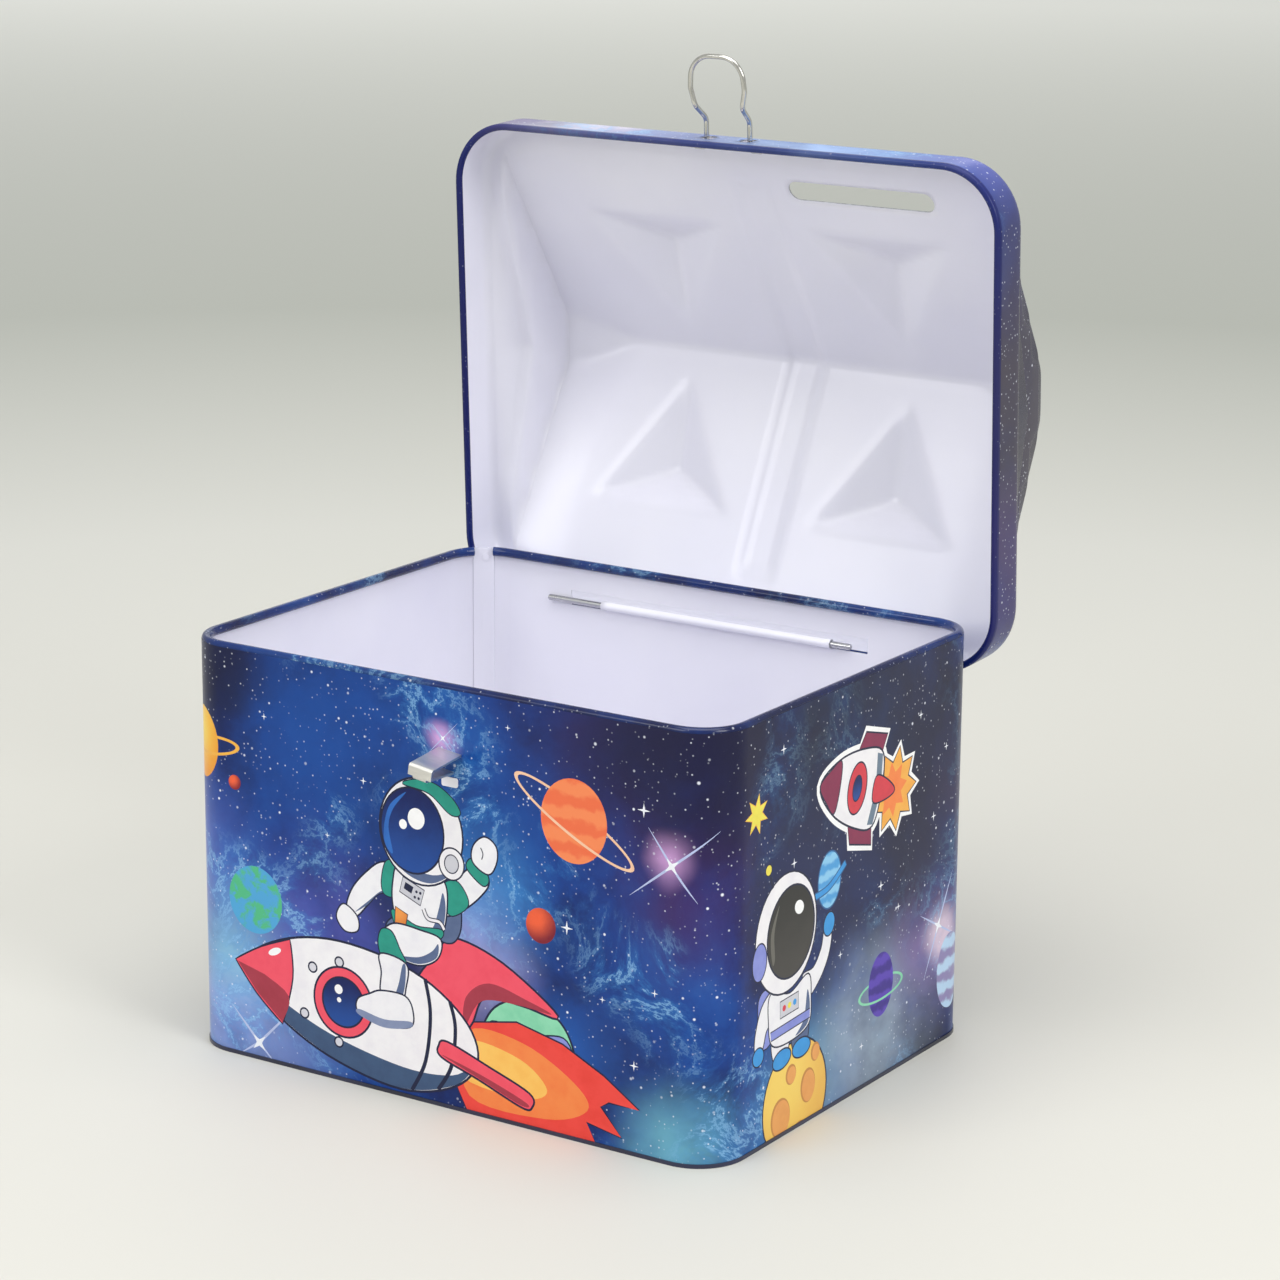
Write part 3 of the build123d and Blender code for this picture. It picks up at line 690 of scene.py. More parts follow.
def rider():
    """A spaceman who sits on the rocket and waves, with the other hand down by the hull."""
    # far leg and pack
    soft("suit_shade", [(9, 6), (14, 5), (15.5, -3), (13, -8), (8, -7)], 0.5)
    soft("suit_shade", [(-10, -9), (-4, -4), (3, -3), (3, -9), (-2, -12), (-9, -12.5)], 0.5)
    # arms
    soft("suit", [(-7, 9), (-14, 8.5), (-19, 4), (-23.5, -2.5), (-25, -9), (-21.6, -10.6), (-18, -6),
        (-14, -1), (-7, 1.5)], 0.55)
    soft("suit_shade", [(-22, -9.6), (-17.5, -4.6), (-13, 0), (-7, 1.8), (-14, -1.2), (-18, -6.2)])
    soft("teal", [(-12.6, 9.4), (-8, 9.6), (-7.5, 0.6), (-12, -0.8), (-13.6, 3)], 0.35)
    soft("suit", [(-26.4, -8.6), (-21.4, -10.8), (-20.6, -15), (-25, -16.4), (-28.4, -13)], 0.5)
    soft("suit", [(7, 8), (12, 10.5), (16, 15.5), (20.5, 17.5), (23.5, 14), (21, 9), (16, 3.5), (10, -0.5),
        (6, 1)], 0.55)
    soft("teal", [(8.2, 8.6), (13, 10.8), (17.4, 5.4), (12.4, 0.2), (9.2, 2.4)], 0.35)
    soft("teal", [(15.6, 16.2), (17.4, 19.4), (23.2, 15.6), (21.8, 12.6)], 0.4)
    soft("suit", [(17.6, 18.6), (17.2, 23.4), (20.6, 27), (24.6, 25.4), (25.4, 21), (23.2, 16.6)], 0.5)
    fill("line", stroke(curve([(19.6, 23.6), (20.6, 22), (20.4, 20.2)]), 0.35))
    # trunk
    trunk = blob([(-8, 10), (0, 12), (8, 9.5), (10, 2), (9, -7), (3, -11), (-5, -10), (-8.6, -3), (-9.4, 4)])
    fill("suit", trunk, 0.55)
    soft("suit_shade", [(8.2, 6), (9.8, 1), (8.8, -7), (3, -10.8), (6.2, -5), (7.4, 1)])
    fill("panel", [(-6.2, 6.4), (1.6, 4.6), (0.8, -0.2), (-6.8, 1.8)], 0.35)
    fill("line", [(-5.2, 5.2), (-2.2, 4.5), (-2.7, 2.3), (-5.6, 3.1)])
    for x in (-1, 0.4):
        oval("line", (x, 3.4, 0.45, 0.45, 0, 12))
        oval("line", (x - 0.4, 1.6, 0.45, 0.45, 0, 12))
    soft("teal", [(-8.4, -4.6), (0, -7), (9, -5.4), (8.6, -8.4), (2, -10.6), (-6, -9.4), (-8.4, -7)], 0.35)
    fill("orange_ball", [(-7.8, -3.4), (-3.4, -4.6), (-3.8, -9.2), (-7.4, -8.6)], 0.35)
    fill("line", stroke(curve([(2, -1), (4, -3.4), (8, -3.2), (10, -5)]), 1.5))
    fill("hull", stroke(curve([(2, -1), (4, -3.4), (8, -3.2), (10, -5)]), 0.85))
    # near leg and boot
    soft("suit", [(-8, -9), (2, -8), (9, -8.6), (8.4, -14.6), (2, -18.6), (-7, -18), (-12, -14.5)], 0.55)
    soft("suit_shade", [(8.4, -10), (8.2, -14.6), (2, -18.4), (-5, -18.2), (2, -16.2), (6.4, -13)])
    soft("teal", [(-12, -12), (-8.4, -11.6), (-5, -16), (-2.4, -20), (-10, -20.6), (-12.6, -16.6)], 0.4)
    soft("suit", [(-11.4, -19.6), (-2.2, -20), (-1.6, -27), (-3, -33), (-9.6, -32), (-10.4, -25)], 0.55)
    soft("suit_shade", [(-3.4, -20.6), (-2.2, -20.6), (-1.8, -27), (-3, -32.4), (-5, -32), (-4, -26)])
    soft("suit", [(-9.8, -31), (-1.4, -30), (1.8, -34), (1.2, -38.6), (-8, -41), (-17, -40.2), (-18, -36.4),
        (-14, -33.4)], 0.55)
    soft("boot_sole", [(1.4, -37), (1, -39.2), (-8, -42), (-17.2, -41), (-17.4, -39.2), (-8, -39.4)])
    # helmet
    oval("hull", (-1.5, 22, 14.6, 15.8, 8), 0.6)
    soft("suit_shade", [(-14, 15), (-6, 8.2), (4, 7.6), (12, 14), (4, 10.2), (-6, 10.6)])
    soft("teal", [(-9.4, 34.6), (-4, 37.4), (2, 37.6), (8, 35.2), (11.4, 31.6), (8, 30.4), (0, 34.4)], 0.35)
    oval("visor", (-4.6, 21.4, 11, 12.6, 8), 0.6)
    soft("visor_glow", [(-14.6, 20), (-13.2, 27), (-8, 32.4), (-12, 26), (-13, 20), (-10.6, 12.6),
        (-13.6, 14.6)])
    oval("white", (-3.6, 25.4, 3, 3.2))
    oval("white", (-8, 22.4, 1.4, 1.5, 0, 20))
    oval("hull", (10.2, 15.6, 4.2, 4.6), 0.5)
    oval("panel", (10.2, 15.6, 2.3, 2.6), 0.35)


def cap_ship():
    """The small green saucer behind the rocket's flame."""
    oval("yellow", (12, -8, 8, 4.2, -12), 0.45)
    oval("sky_hole", (12, -8, 5.6, 2.4, -12))
    soft("mint", [(-12, -12), (12, -12), (13, -2), (9, 6), (0, 9.5), (-9, 6), (-13, -2)], 0.55)
    soft("lilac", [(-11.6, -3), (0, -5.4), (11.6, -3), (10, 2.4), (0, 1.2), (-10, 2.4)], 0.4)
    for k in range(6):
        x = -9.5 + k * 3.8
        fill("line", [(x - 1.1, -8.1), (x + 1.1, -8.1), (x + 1.1, -7.3), (x - 1.1, -7.3)])


def badge_rocket():
    """The small rocket on the right wall, with a white border like a sticker's."""
    hull = blob([(-22, 0), (-14, 6.6), (-2, 9.8), (7, 9.2), (9, 0), (7, -9.2), (-2, -9.8), (-14, -6.6)])
    upper = [(-6, 8.4), (-3, 14), (8, 14), (6, 7.8)]
    lower = [(-6, -8.4), (-3, -14), (8, -14), (6, -7.8)]
    burst = star(16, 0, 11, 7.2, 9, 12)
    for shape in (hull, upper, lower, burst):
        fill("white", grown(shape, 1.9))
    fill("badge_flame", burst, 0.5)
    fill("flame_orange", star(15, 0, 7.4, 4.6, 8, 20))
    for shape in (upper, lower):
        fill("plum", shape, 0.5)
    fill("hull", hull, 0.55)
    fill("badge_band", [(4.4, 9.2), (7.2, 9), (8.8, 0), (7.2, -9), (4.4, -9.2), (6.2, 0)])
    soft("plum", [(-22, 0), (-17.5, 4.2), (-13.4, 6.4), (-12.4, 0), (-13.4, -6.4), (-17.5, -4.2)], 0.4)
    oval("badge_red", (-3.4, 0, 4.4, 6.4), 0.45)
    oval("visor", (-3.4, 0, 2, 3.1), 0.35)
    soft("badge_red", [(5.6, 3), (11, 2.6), (16, 0), (11, -2.6), (5.6, -3)], 0.45)


def moon_visitor():
    """A little spaceman who stands on a yellow moon and waves."""
    oval("moon", (2.5, -23.5, 17.4, 18), 0.6)
    for x, y, rx, ry in ((-5.5, -26.5, 4.8, 5.6), (9.8, -21.6, 3.6, 4.8), (0.4, -15, 2.4, 2.6),
                         (14, -12.6, 2, 2.4), (5, -35, 4.6, 3.4)):
        oval("crater_line", (x, y, rx + 0.5, ry + 0.5))
        oval("crater", (x + 0.4, y - 0.3, rx, ry))
    # backpack, the arm that hangs down and the arm that waves
    soft("lilac", [(-17, 13), (-11, 14), (-10, 0), (-16, -1)], 0.45)
    soft("suit", [(-9, 13.5), (-15, 11), (-18.6, 4), (-19, -1.6), (-15.4, -2), (-13, 3), (-8.6, 6)], 0.5)
    oval("sky_blue", (-17.4, -3.6, 2.8, 2.6), 0.45)
    soft("suit", [(7, 13), (13, 13.6), (17.4, 18), (19.4, 23.4), (23, 21.6), (21.4, 15), (16.4, 9),
        (9, 5.4)], 0.5)
    oval("sky_blue", (21.8, 24.2, 2.9, 3.4, -20), 0.45)
    # legs and boots
    for x, turn in ((-5.4, 4), (5.4, -4)):
        soft("suit_shade" if x > 0 else "suit", [(x - 4.2, 0), (x + 4.2, 0), (x + 3.4, -8),
            (x - 3.4, -8)], 0.5)
        oval("sky_blue", (x + 0.8, -8.6, 4.8, 2.7, turn), 0.5)
    # trunk, belt and chest panel
    soft("suit", [(-10.4, 13), (0, 10), (10, 12.6), (11.4, 5), (10, -2.6), (0, -4.4), (-9.6, -2.6),
        (-11.6, 5)], 0.5)
    soft("suit_shade", [(9.6, 8), (11, 3), (9.6, -2.4), (3, -4), (7.6, -0.4)])
    fill("lilac", [(-10.8, 1.4), (11, 1.6), (10.8, -0.8), (-10.4, -1)], 0.35)
    fill("panel", [(-5.4, 9), (4.6, 9), (4.6, 4.2), (-5.4, 4.2)], 0.35)
    for k, colour in enumerate(("badge_red", "yellow", "sky_blue")):
        oval(colour, (-3.2 + 2.9 * k, 6.6, 0.95, 0.95, 0, 16))
    # helmet
    oval("hull", (-2, 29, 16.4, 17.6, -6), 0.6)
    oval("dark_glass", (0.6, 28.6, 12.6, 13.4, -6), 0.6)
    soft("glass_edge", [(-9.6, 22), (-10.2, 31), (-5.6, 38.4), (-8.4, 31), (-8.2, 23)])
    oval("white", (5.2, 34.6, 2.6, 2, -30))
    oval("lilac", (-16.4, 24.6, 3.6, 5.4, -6), 0.45)
    fill("line", stroke([(-9, 44.6), (-11, 50)], 0.9))
    oval("yellow", (-11.3, 50.6, 1.5, 1.5, 0, 18), 0.35)


def paint():
    """Everything that is printed on the wall, in paint order."""
    side = SIDE_MIDDLE
    # front wall: far things first
    sparkle(58.9, 65.2, 13, 38)
    sparkle(1.2, 83, 5.5, 45)
    sparkle(-50, 4, 15, 45)
    move_to(-63.5, 71)
    ringed_planet("gold_ball", (-3, 0, 6.4, 8.2), "gold", (0, 0, 9.5, 2.4, 1.1, 4))
    move_to(34.7, 70.6)
    ringed_planet("orange_planet", (0, 0, 8.3, 9.2), "peach", (0, 0, 17, 3.4, 1, -28))
    move_to(0, 0)
    oval("red_planet", (26.4, 46.2, 3.8, 3.9))
    oval("red_planet", (-55.6, 63.6, 1.7, 1.7, 0, 20))
    oval("green_globe", (-50.3, 37.4, 7.4, 7.8))
    for x, y, size in ((-47, 80, 0.8), (-20, 70, 0.9), (18, 88, 0.7), (52, 76, 1.6), (33, 47, 1.6),
                       (55, 37, 0.9), (50, 20, 1.2), (-30, 56, 0.7), (42, 33, 0.8), (-33, 9.5, 1.3)):
        little_star(x, y, size)
    move_to(23, 20, 0.92)
    cap_ship()
    move_to(-15, 16, 1, -7)
    ship()
    move_to(-5.6, 45, 0.74, -7)
    rider()
    # right wall
    move_to(side + 3.6, 69.2, 0.86, -15)
    badge_rocket()
    move_to(0, 0)
    fill("yellow", star(side - 40.2, 74.4, 4.3, 1.9, 7, 80), 0.3, "gold")
    move_to(side - 10.2, 52.4)
    oval("blue_planet", (0, 0, 4.6, 6.2), 0.35, "blue_line")
    fill("sky_blue", stroke(curve([(-6.4, -2.4), (0, -1.6), (6.6, 2)]), 1.2), 0.3, "blue_line")
    move_to(side - 25.5, 24, 0.74, 2)
    moon_visitor()
    move_to(side + 13, 22)
    ringed_planet("purple_planet", (0, 0, 5.4, 7.4), "mint", (0, -1, 9.8, 2.8, 0.9, 0))
    move_to(0, 0)
    sparkle(side + 38.5, 28.5, 13, 62)
    oval("pale_planet", (side + 44.5, 16.3, 6, 9))
    for x, y, size in ((-25, 60, 1.2), (12, 45, 1.3), (20, 38, 1), (-5, 34, 1), (35, 55, 1.2),
                       (28, 80, 1.1), (-30, 86, 1.2), (40, 70, 1), (5, 10, 1)):
        little_star(side + x, y, size)
    # back and left walls
    back = BACK_MIDDLE
    for start, ball_ink in ((back - 30, "purple_planet"), (-side - 14, "blue_planet")):
        move_to(start, 52)
        ringed_planet(ball_ink, (0, 0, 10.5, 10.5), "peach", (0, 0, 19, 4.4, 1.2, 16))
    move_to(back + 34, 40, 0.95, 12)
    badge_rocket()
    move_to(-side + 16, 30, 0.72, 4)
    rider()
    move_to(0, 0)
    oval("red_planet", (back - 4, 24, 5, 5.2))
    oval("green_globe", (-side - 30, 24, 8, 8.2))
    oval("moon", (-back + 48, 70, 6.5, 6.6))
    sparkle(back - 12, 68, 12, 40)
    sparkle(-side + 30, 74, 11, 50)
    random = Random(7)
    for _ in range(26):
        little_star(random.uniform(side + 50, 300), random.uniform(8, 88), random.uniform(0.8, 1.5))


INKS = {
    "line": ("1b2140",),
    "white": ("fbfbfd",),
    "gleam": ("f3f6ff",),
    "ray": ("b9c4ea",),
    "hull": ("f4f2f6", "e4e0ea"),
    "hull_shade": ("3f587c", "36496c"),
    "suit": ("f2f1f6", "dfdde9"),
    "suit_shade": ("55668c", "6c7ba0"),
    "boot_sole": ("8793b4", "6c7aa2"),
    "red": ("f2566a", "e8455a"),
    "deep_red": ("a83a4c", "97303f"),
    "teal": ("2a9a88", "1f8074"),
    "panel": ("cfcfd8", "b9bac8"),
    "visor": ("0c1c58", "1d4a98", "fall"),
    "visor_glow": ("2f6cc0", "2456a4"),
    "rivet": ("d9d8e2",),
    "flame_red": ("ee4a42", "e0392f"),
    "flame_orange": ("f58a4a", "f0713c"),
    "flame_yellow": ("fbc665", "f7b04c"),
    "orange_ball": ("ee9a4e", "d87a34", "ball"),
    "orange_planet": ("f58a58", "ee7048", "bands"),
    "peach": ("f5c9a8", "e8ae90"),
    "red_planet": ("f0623c", "7e2030", "ball"),
    "gold": ("f3b44a",),
    "gold_ball": ("fbd54e", "ee9a34", "ball"),
    "green_globe": ("4fa4d8", "52b986", "lands"),
    "mint": ("8fd8b4", "6cc49c"),
    "lilac": ("8d96dc", "6f78c8"),
    "yellow": ("f0e25a", "dccb48"),
    "sky_hole": ("1d3a80",),
    "badge_flame": ("f6b552", "ee9a40"),
    "plum": ("8a2f52", "74264a"),
    "badge_red": ("d9404e", "c23444"),
    "badge_band": ("6f8296", "55687e"),
    "moon": ("f6d268", "ecb858", "ball"),
    "crater": ("e9a45e", "dd9350"),
    "crater_line": ("c98a4a",),
    "sky_blue": ("3c9ae0", "2f86cc"),
    "blue_planet": ("8cc8ee", "4f9fdc", "bands"),
    "blue_line": ("2d5f98",),
    "dark_glass": ("2f2f2e", "454341", "fall"),
    "glass_edge": ("6a6862",),
    "purple_planet": ("5b43b4", "3f2c8c", "bands"),
    "pale_planet": ("b8d4f0", "8f86b4", "bands"),
}


def within(centres, loop):
    """Which of the points lie inside an outline, by its winding number."""
    winding = np.zeros(len(centres), int)
    x, y = centres[:, 0], centres[:, 1]
    for (ax, ay), (bx, by) in zip(loop, loop[1:] + loop[:1]):
        if ay == by:
            continue
        left = (bx - ax) * (y - ay) - (x - ax) * (by - ay)
        winding += (ay <= y) & (y < by) & (left > 0)
        winding -= (by <= y) & (y < ay) & (left < 0)
    return winding != 0


BEND_STEPS = 14           # flat strips round each corner of the box
SEAM_PART = 0.6           # how far round its corner the sheet's two ends meet
WELD = 1e-5               # outline points closer than this become one, in millimetres


def print_sheet():
    """The wall's printed skin: one sheet, cut into the picture's inks and bent round the box."""
    low, high = PRINT_LOW, BOX_HEIGHT - BOX_CURL / 2
    seam = -(SIDE_MIDDLE + SIDE_STRAIGHT / 2 + CORNER_ARC * SEAM_PART)
    end = seam + 2 * BACK_MIDDLE
    left, right, bottom, top = HINGE_SLOT
    slot = [(BACK_MIDDLE + x, z) for x, z in ((left, bottom), (right, bottom), (right, top), (left, top))]
    shapes = []
    for kind, loop, centre, half in PICTURE.shapes:
        kept = [(min(max(x, seam), end), min(max(y, low), high)) for x, y in loop]
        shapes.append((kind, kept, centre, half))
    shapes.append(("hole", slot, (0, 0), 1.0))
    points = []
    edges = []

    def outline(loop, closed=True):
        first = len(points)
        points.extend(loop)
        edges.extend((first + k, first + k + 1) for k in range(len(loop) - 1))
        if closed:
            edges.append((first + len(loop) - 1, first))

    outline([(seam, low), (end, low), (end, high), (seam, high)])
    corners = (FRONT_STRAIGHT / 2, SIDE_MIDDLE + SIDE_STRAIGHT / 2, -FRONT_STRAIGHT / 2 - CORNER_ARC,
               seam, BACK_MIDDLE + FRONT_STRAIGHT / 2)
    for start in corners:
        for k in range(BEND_STEPS + 1):
            u = start + CORNER_ARC * k / BEND_STEPS
            if seam < u < end:
                outline([(u, low), (u, high)], closed=False)
    for _, loop, _, _ in shapes:
        outline(loop)

    verts, _, tris, _, _, _ = delaunay_2d_cdt([Vector(p) for p in points], edges, [], 0, WELD)
    flat = np.array([tuple(v) for v in verts])
    centres = flat[np.array(tris)].mean(axis=1)
    owner = np.full(len(tris), -1)
    for number, (_, loop, _, _) in enumerate(shapes):
        owner[within(centres, loop)] = number
    names = ["sky"] + list(INKS)
    keep, indices, maps = [], [], []
    for tri, number in zip(tris, owner):
        kind, _, centre, half = shapes[number] if number >= 0 else ("sky", None, (0, 0), 1.0)
        if kind != "hole":
            keep.append(tri)
            indices.append(names.index(kind))
            maps.append((centre, half))
    materials = [print_background()] + [ink(name, *look) for name, look in INKS.items()]
    bent = [(*wrap(u, PRINT_GAP), z) for u, z in verts]
    obj = new_object("body_print", bent, keep, materials, indices)
    sheet = obj.data.uv_layers.new(name="sheet")
    local = obj.data.uv_layers.new(name="local")
    for face, (centre, half) in zip(obj.data.polygons, maps):
        for loop_index in face.loop_indices:
            u, z = verts[obj.data.loops[loop_index].vertex_index]
            sheet.data[loop_index].uv = (u * MM, z * MM)
            local.data[loop_index].uv = ((u - centre[0]) / half, (z - centre[1]) / half)
    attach(obj, "box")


# --- lid -----------------------------------------------------------------------------------
ROOF_EAVE = 6.0
ROOF_CORNER = 7.0
ROOF_END_RISE = 13.0      # how steeply the gable ends rise from the margin
ROOF_RIDGE = 40.0
ROOF_HALF = 67.4
RIDGE_HALF = 48.5
RIDGE_DROP = 5.5
BAND_START = 55.5
BAND_DROP = 2.0
MIDDLE = LID_DEPTH / 2
PITCH = (ROOF_RIDGE - LID_SKIRT) / (MIDDLE - ROOF_EAVE)
DORMER_X = 30.3
DORMER_HALF = 19.0
DORMER_BASE = 22.5
DORMER_PEAK = 29.0
DORMER_TIP = 51.0
DORMER_RISE = 31.0
STRAP = (-4.0, 5.0, 0.9)
STRAP_START = 11.0        # from the side of the lid to the middle of the strap's end
STRAP_END_RAMP = 5.0
STRAP_EDGE_RAMP = 1.6
SOFT_RIDGE, SOFT_FACET, SOFT_VALLEY, SOFT_FOOT = 0.42, 0.36, 0.28, 0.5
COIN_SLOT = (10.6, 48.4, 101.6, 106.2)
HASP_HOLES = (3.6, 6.8, 4.2, 7.8)


def soft_min(values, soft):
    """The least of the values, blended smoothly where two are within about soft of each other."""
    low = min(values)
    return low - soft * log(sum(exp((low - value) / soft) for value in values))


def soft_max(values, soft):
    return -soft_min([-value for value in values], soft)


def soft_step(value, width):
    """0 to 1 over a ramp of the given width, centred on 0."""
    t = min(max(value / width + 0.5, 0.0), 1.0)
    return t * t * (3 - 2 * t)


def plane_through(a, b, c):
    """The coefficients of the plane n = p x + q w + r through three points."""
    rows = Matrix([(x, w, 1) for x, w, _ in (a, b, c)])
    return rows.inverted() @ Vector((a[2], b[2], c[2]))


def slope_at(w):
    """Height of a slope at a distance w from its own side of the lid."""
    return LID_SKIRT + (w - ROOF_EAVE) * PITCH


DORMER_LEFT = (-DORMER_HALF, DORMER_BASE, slope_at(DORMER_BASE))
DORMER_RIGHT = (DORMER_HALF, DORMER_BASE, slope_at(DORMER_BASE))
DORMER_TOP = (0, DORMER_TIP, slope_at(DORMER_TIP))
DORMER_POINT = (0, DORMER_PEAK, DORMER_RISE)
DORMER_FACETS = [
    plane_through(DORMER_LEFT, DORMER_RIGHT, DORMER_POINT),
    plane_through(DORMER_LEFT, DORMER_TOP, DORMER_POINT),
    plane_through(DORMER_RIGHT, DORMER_TOP, DORMER_POINT),
]


def past_rectangle(x, y, half_x, half_y, r):
    """How far a point lies outside a rounded rectangle round the origin, negative inside."""
    past_x, past_y = abs(x) - (half_x - r), abs(y) - (half_y - r)
    return hypot(max(past_x, 0), max(past_y, 0)) + min(max(past_x, past_y), 0) - r


def roof_height(x, v):
    """Height of the lid's outer face above its rim, with the soft edges of a pressing."""
    w = min(v, LID_DEPTH - v)
    side = abs(x)
    slopes = [slope_at(v), slope_at(LID_DEPTH - v)]
    band = (side - BAND_START) * BAND_DROP / (ROOF_HALF - BAND_START)
    faces = slopes + [height - band for height in slopes]
    faces.append(ROOF_RIDGE - (side - RIDGE_HALF) * RIDGE_DROP / (ROOF_HALF - RIDGE_HALF))
    out = past_rectangle(x, MIDDLE - w, ROOF_HALF, MIDDLE - ROOF_EAVE, ROOF_CORNER)
    faces.append(LID_SKIRT - out * ROOF_END_RISE)
    roof = soft_min(faces, SOFT_RIDGE)
    across = side - DORMER_X
    facets = [p * across + q * w + r for p, q, r in DORMER_FACETS]
    roof = soft_max([roof, soft_min(facets, SOFT_FACET)], SOFT_VALLEY)
    left, right, rise = STRAP
    strap = soft_step(x - left, STRAP_EDGE_RAMP) * soft_step(right - x, STRAP_EDGE_RAMP)
    strap *= soft_step(w - STRAP_START, STRAP_END_RAMP)
    return soft_max([roof + rise * strap, LID_SKIRT], SOFT_FOOT)


def opened(x, y, z):
    """Where a point of the closed lid lies at rest, with the lid open."""
    dy, dz = y - PIN.y, z - PIN.z
    c, s = cos(-OPEN_ANGLE), sin(-OPEN_ANGLE)
    return (x, PIN.y + dy * c - dz * s, PIN.z + dy * s + dz * c)


def lid_point(x, v, n):
    """The point of the open lid at x along it, v forwards from its rear face and n above its rim."""
    return opened(x, LID_REAR - v, LID_RIM_Z + n)


def steps_between(stops, size):
    """Evenly spaced places between each pair of stops, no further apart than size."""
    out = []
    for a, b in zip(stops, stops[1:]):
        count = max(1, round(abs(b - a) / size))
        out += [a + (b - a) * k / count for k in range(count)]
    return out


def rim_samples():
    """Stations round the lid: (centre x, centre v, direction x, direction v, run)."""
    step = 2.0
    half_x = LID_WIDTH / 2 - LID_CORNER
    half_v = LID_DEPTH / 2 - LID_CORNER
    hole_in, hole_out = HASP_HOLES[:2]
    front = [-half_x, -hole_out, -hole_in, hole_in, hole_out, half_x]
    rear = [half_x, TAB_RIGHT, TAB_LEFT, -half_x]
    near, far = MIDDLE + half_v, MIDDLE - half_v
    corner_steps = 16

    def corner(cx, cv, start):
        angles = [radians(start - 90 * k / corner_steps) for k in range(corner_steps)]
        return [(cx, cv, cos(a), sin(a), "corner") for a in angles]

    return [
        *((x, near, 0, 1, "front") for x in steps_between(front, step)), *corner(half_x, near, 90),
        *((half_x, v, 1, 0, "side") for v in steps_between([near, far], step)), *corner(half_x, far, 0),
        *((x, far, 0, -1, "rear") for x in steps_between(rear, step)), *corner(-half_x, far, -90),
        *((-half_x, v, -1, 0, "side") for v in steps_between([far, near], step)),
        *corner(-half_x, near, 180),
    ]


def coin_slot_outline():
    left, right, low, high = COIN_SLOT
    r = (high - low) / 2
    out = []
    for cx, start in ((right - r, -90), (left + r, 90)):
        for k in range(11):
            a = radians(start + 18 * k)
            out.append((cx + r * cos(a), (low + high) / 2 + r * sin(a)))
    return out


FIT = 0.01                # two places closer than this are the same
GRID = 1.3                # spacing of the lid's points along it, and
GRID_V = 1.2              # from back to front
GABLE_FOOT = (64.6, 68.4)    # the steep foot of a gable end, which needs finer points
GABLE_GRID = 0.4
CLEAR_EDGE = 0.6          # no grid point comes nearer than this to the lid's edge,
CLEAR_SLOT = 0.7          # or than this to the coin slot


def roof_grid():
    """Points over the lid's face that follow its creases, clear of its edge and its coin slot."""
    foot, foot_end = GABLE_FOOT
    half_x, half_v = LID_WIDTH / 2 - LID_EDGE, MIDDLE - LID_EDGE
    xs = steps_between([-half_x, -foot_end, -foot, -57, 0, 57, foot, foot_end, half_x], GRID)
    xs = [x for x in xs if not foot < abs(x) < foot_end]
    xs += [sign * (foot + GABLE_GRID * k) for sign in (-1, 1) for k in range(10)]
    left, right, low, high = COIN_SLOT
    for v in sorted(steps_between([LID_EDGE, MIDDLE, LID_DEPTH - LID_EDGE], GRID_V)):
        for x in xs:
            out = past_rectangle(x, v - MIDDLE, half_x, half_v, LID_CORNER - LID_EDGE)
            by_slot = (left - CLEAR_SLOT < x < right + CLEAR_SLOT
                       and low - CLEAR_SLOT < v < high + CLEAR_SLOT)
            if out < -CLEAR_EDGE and not by_slot:
                yield x, v


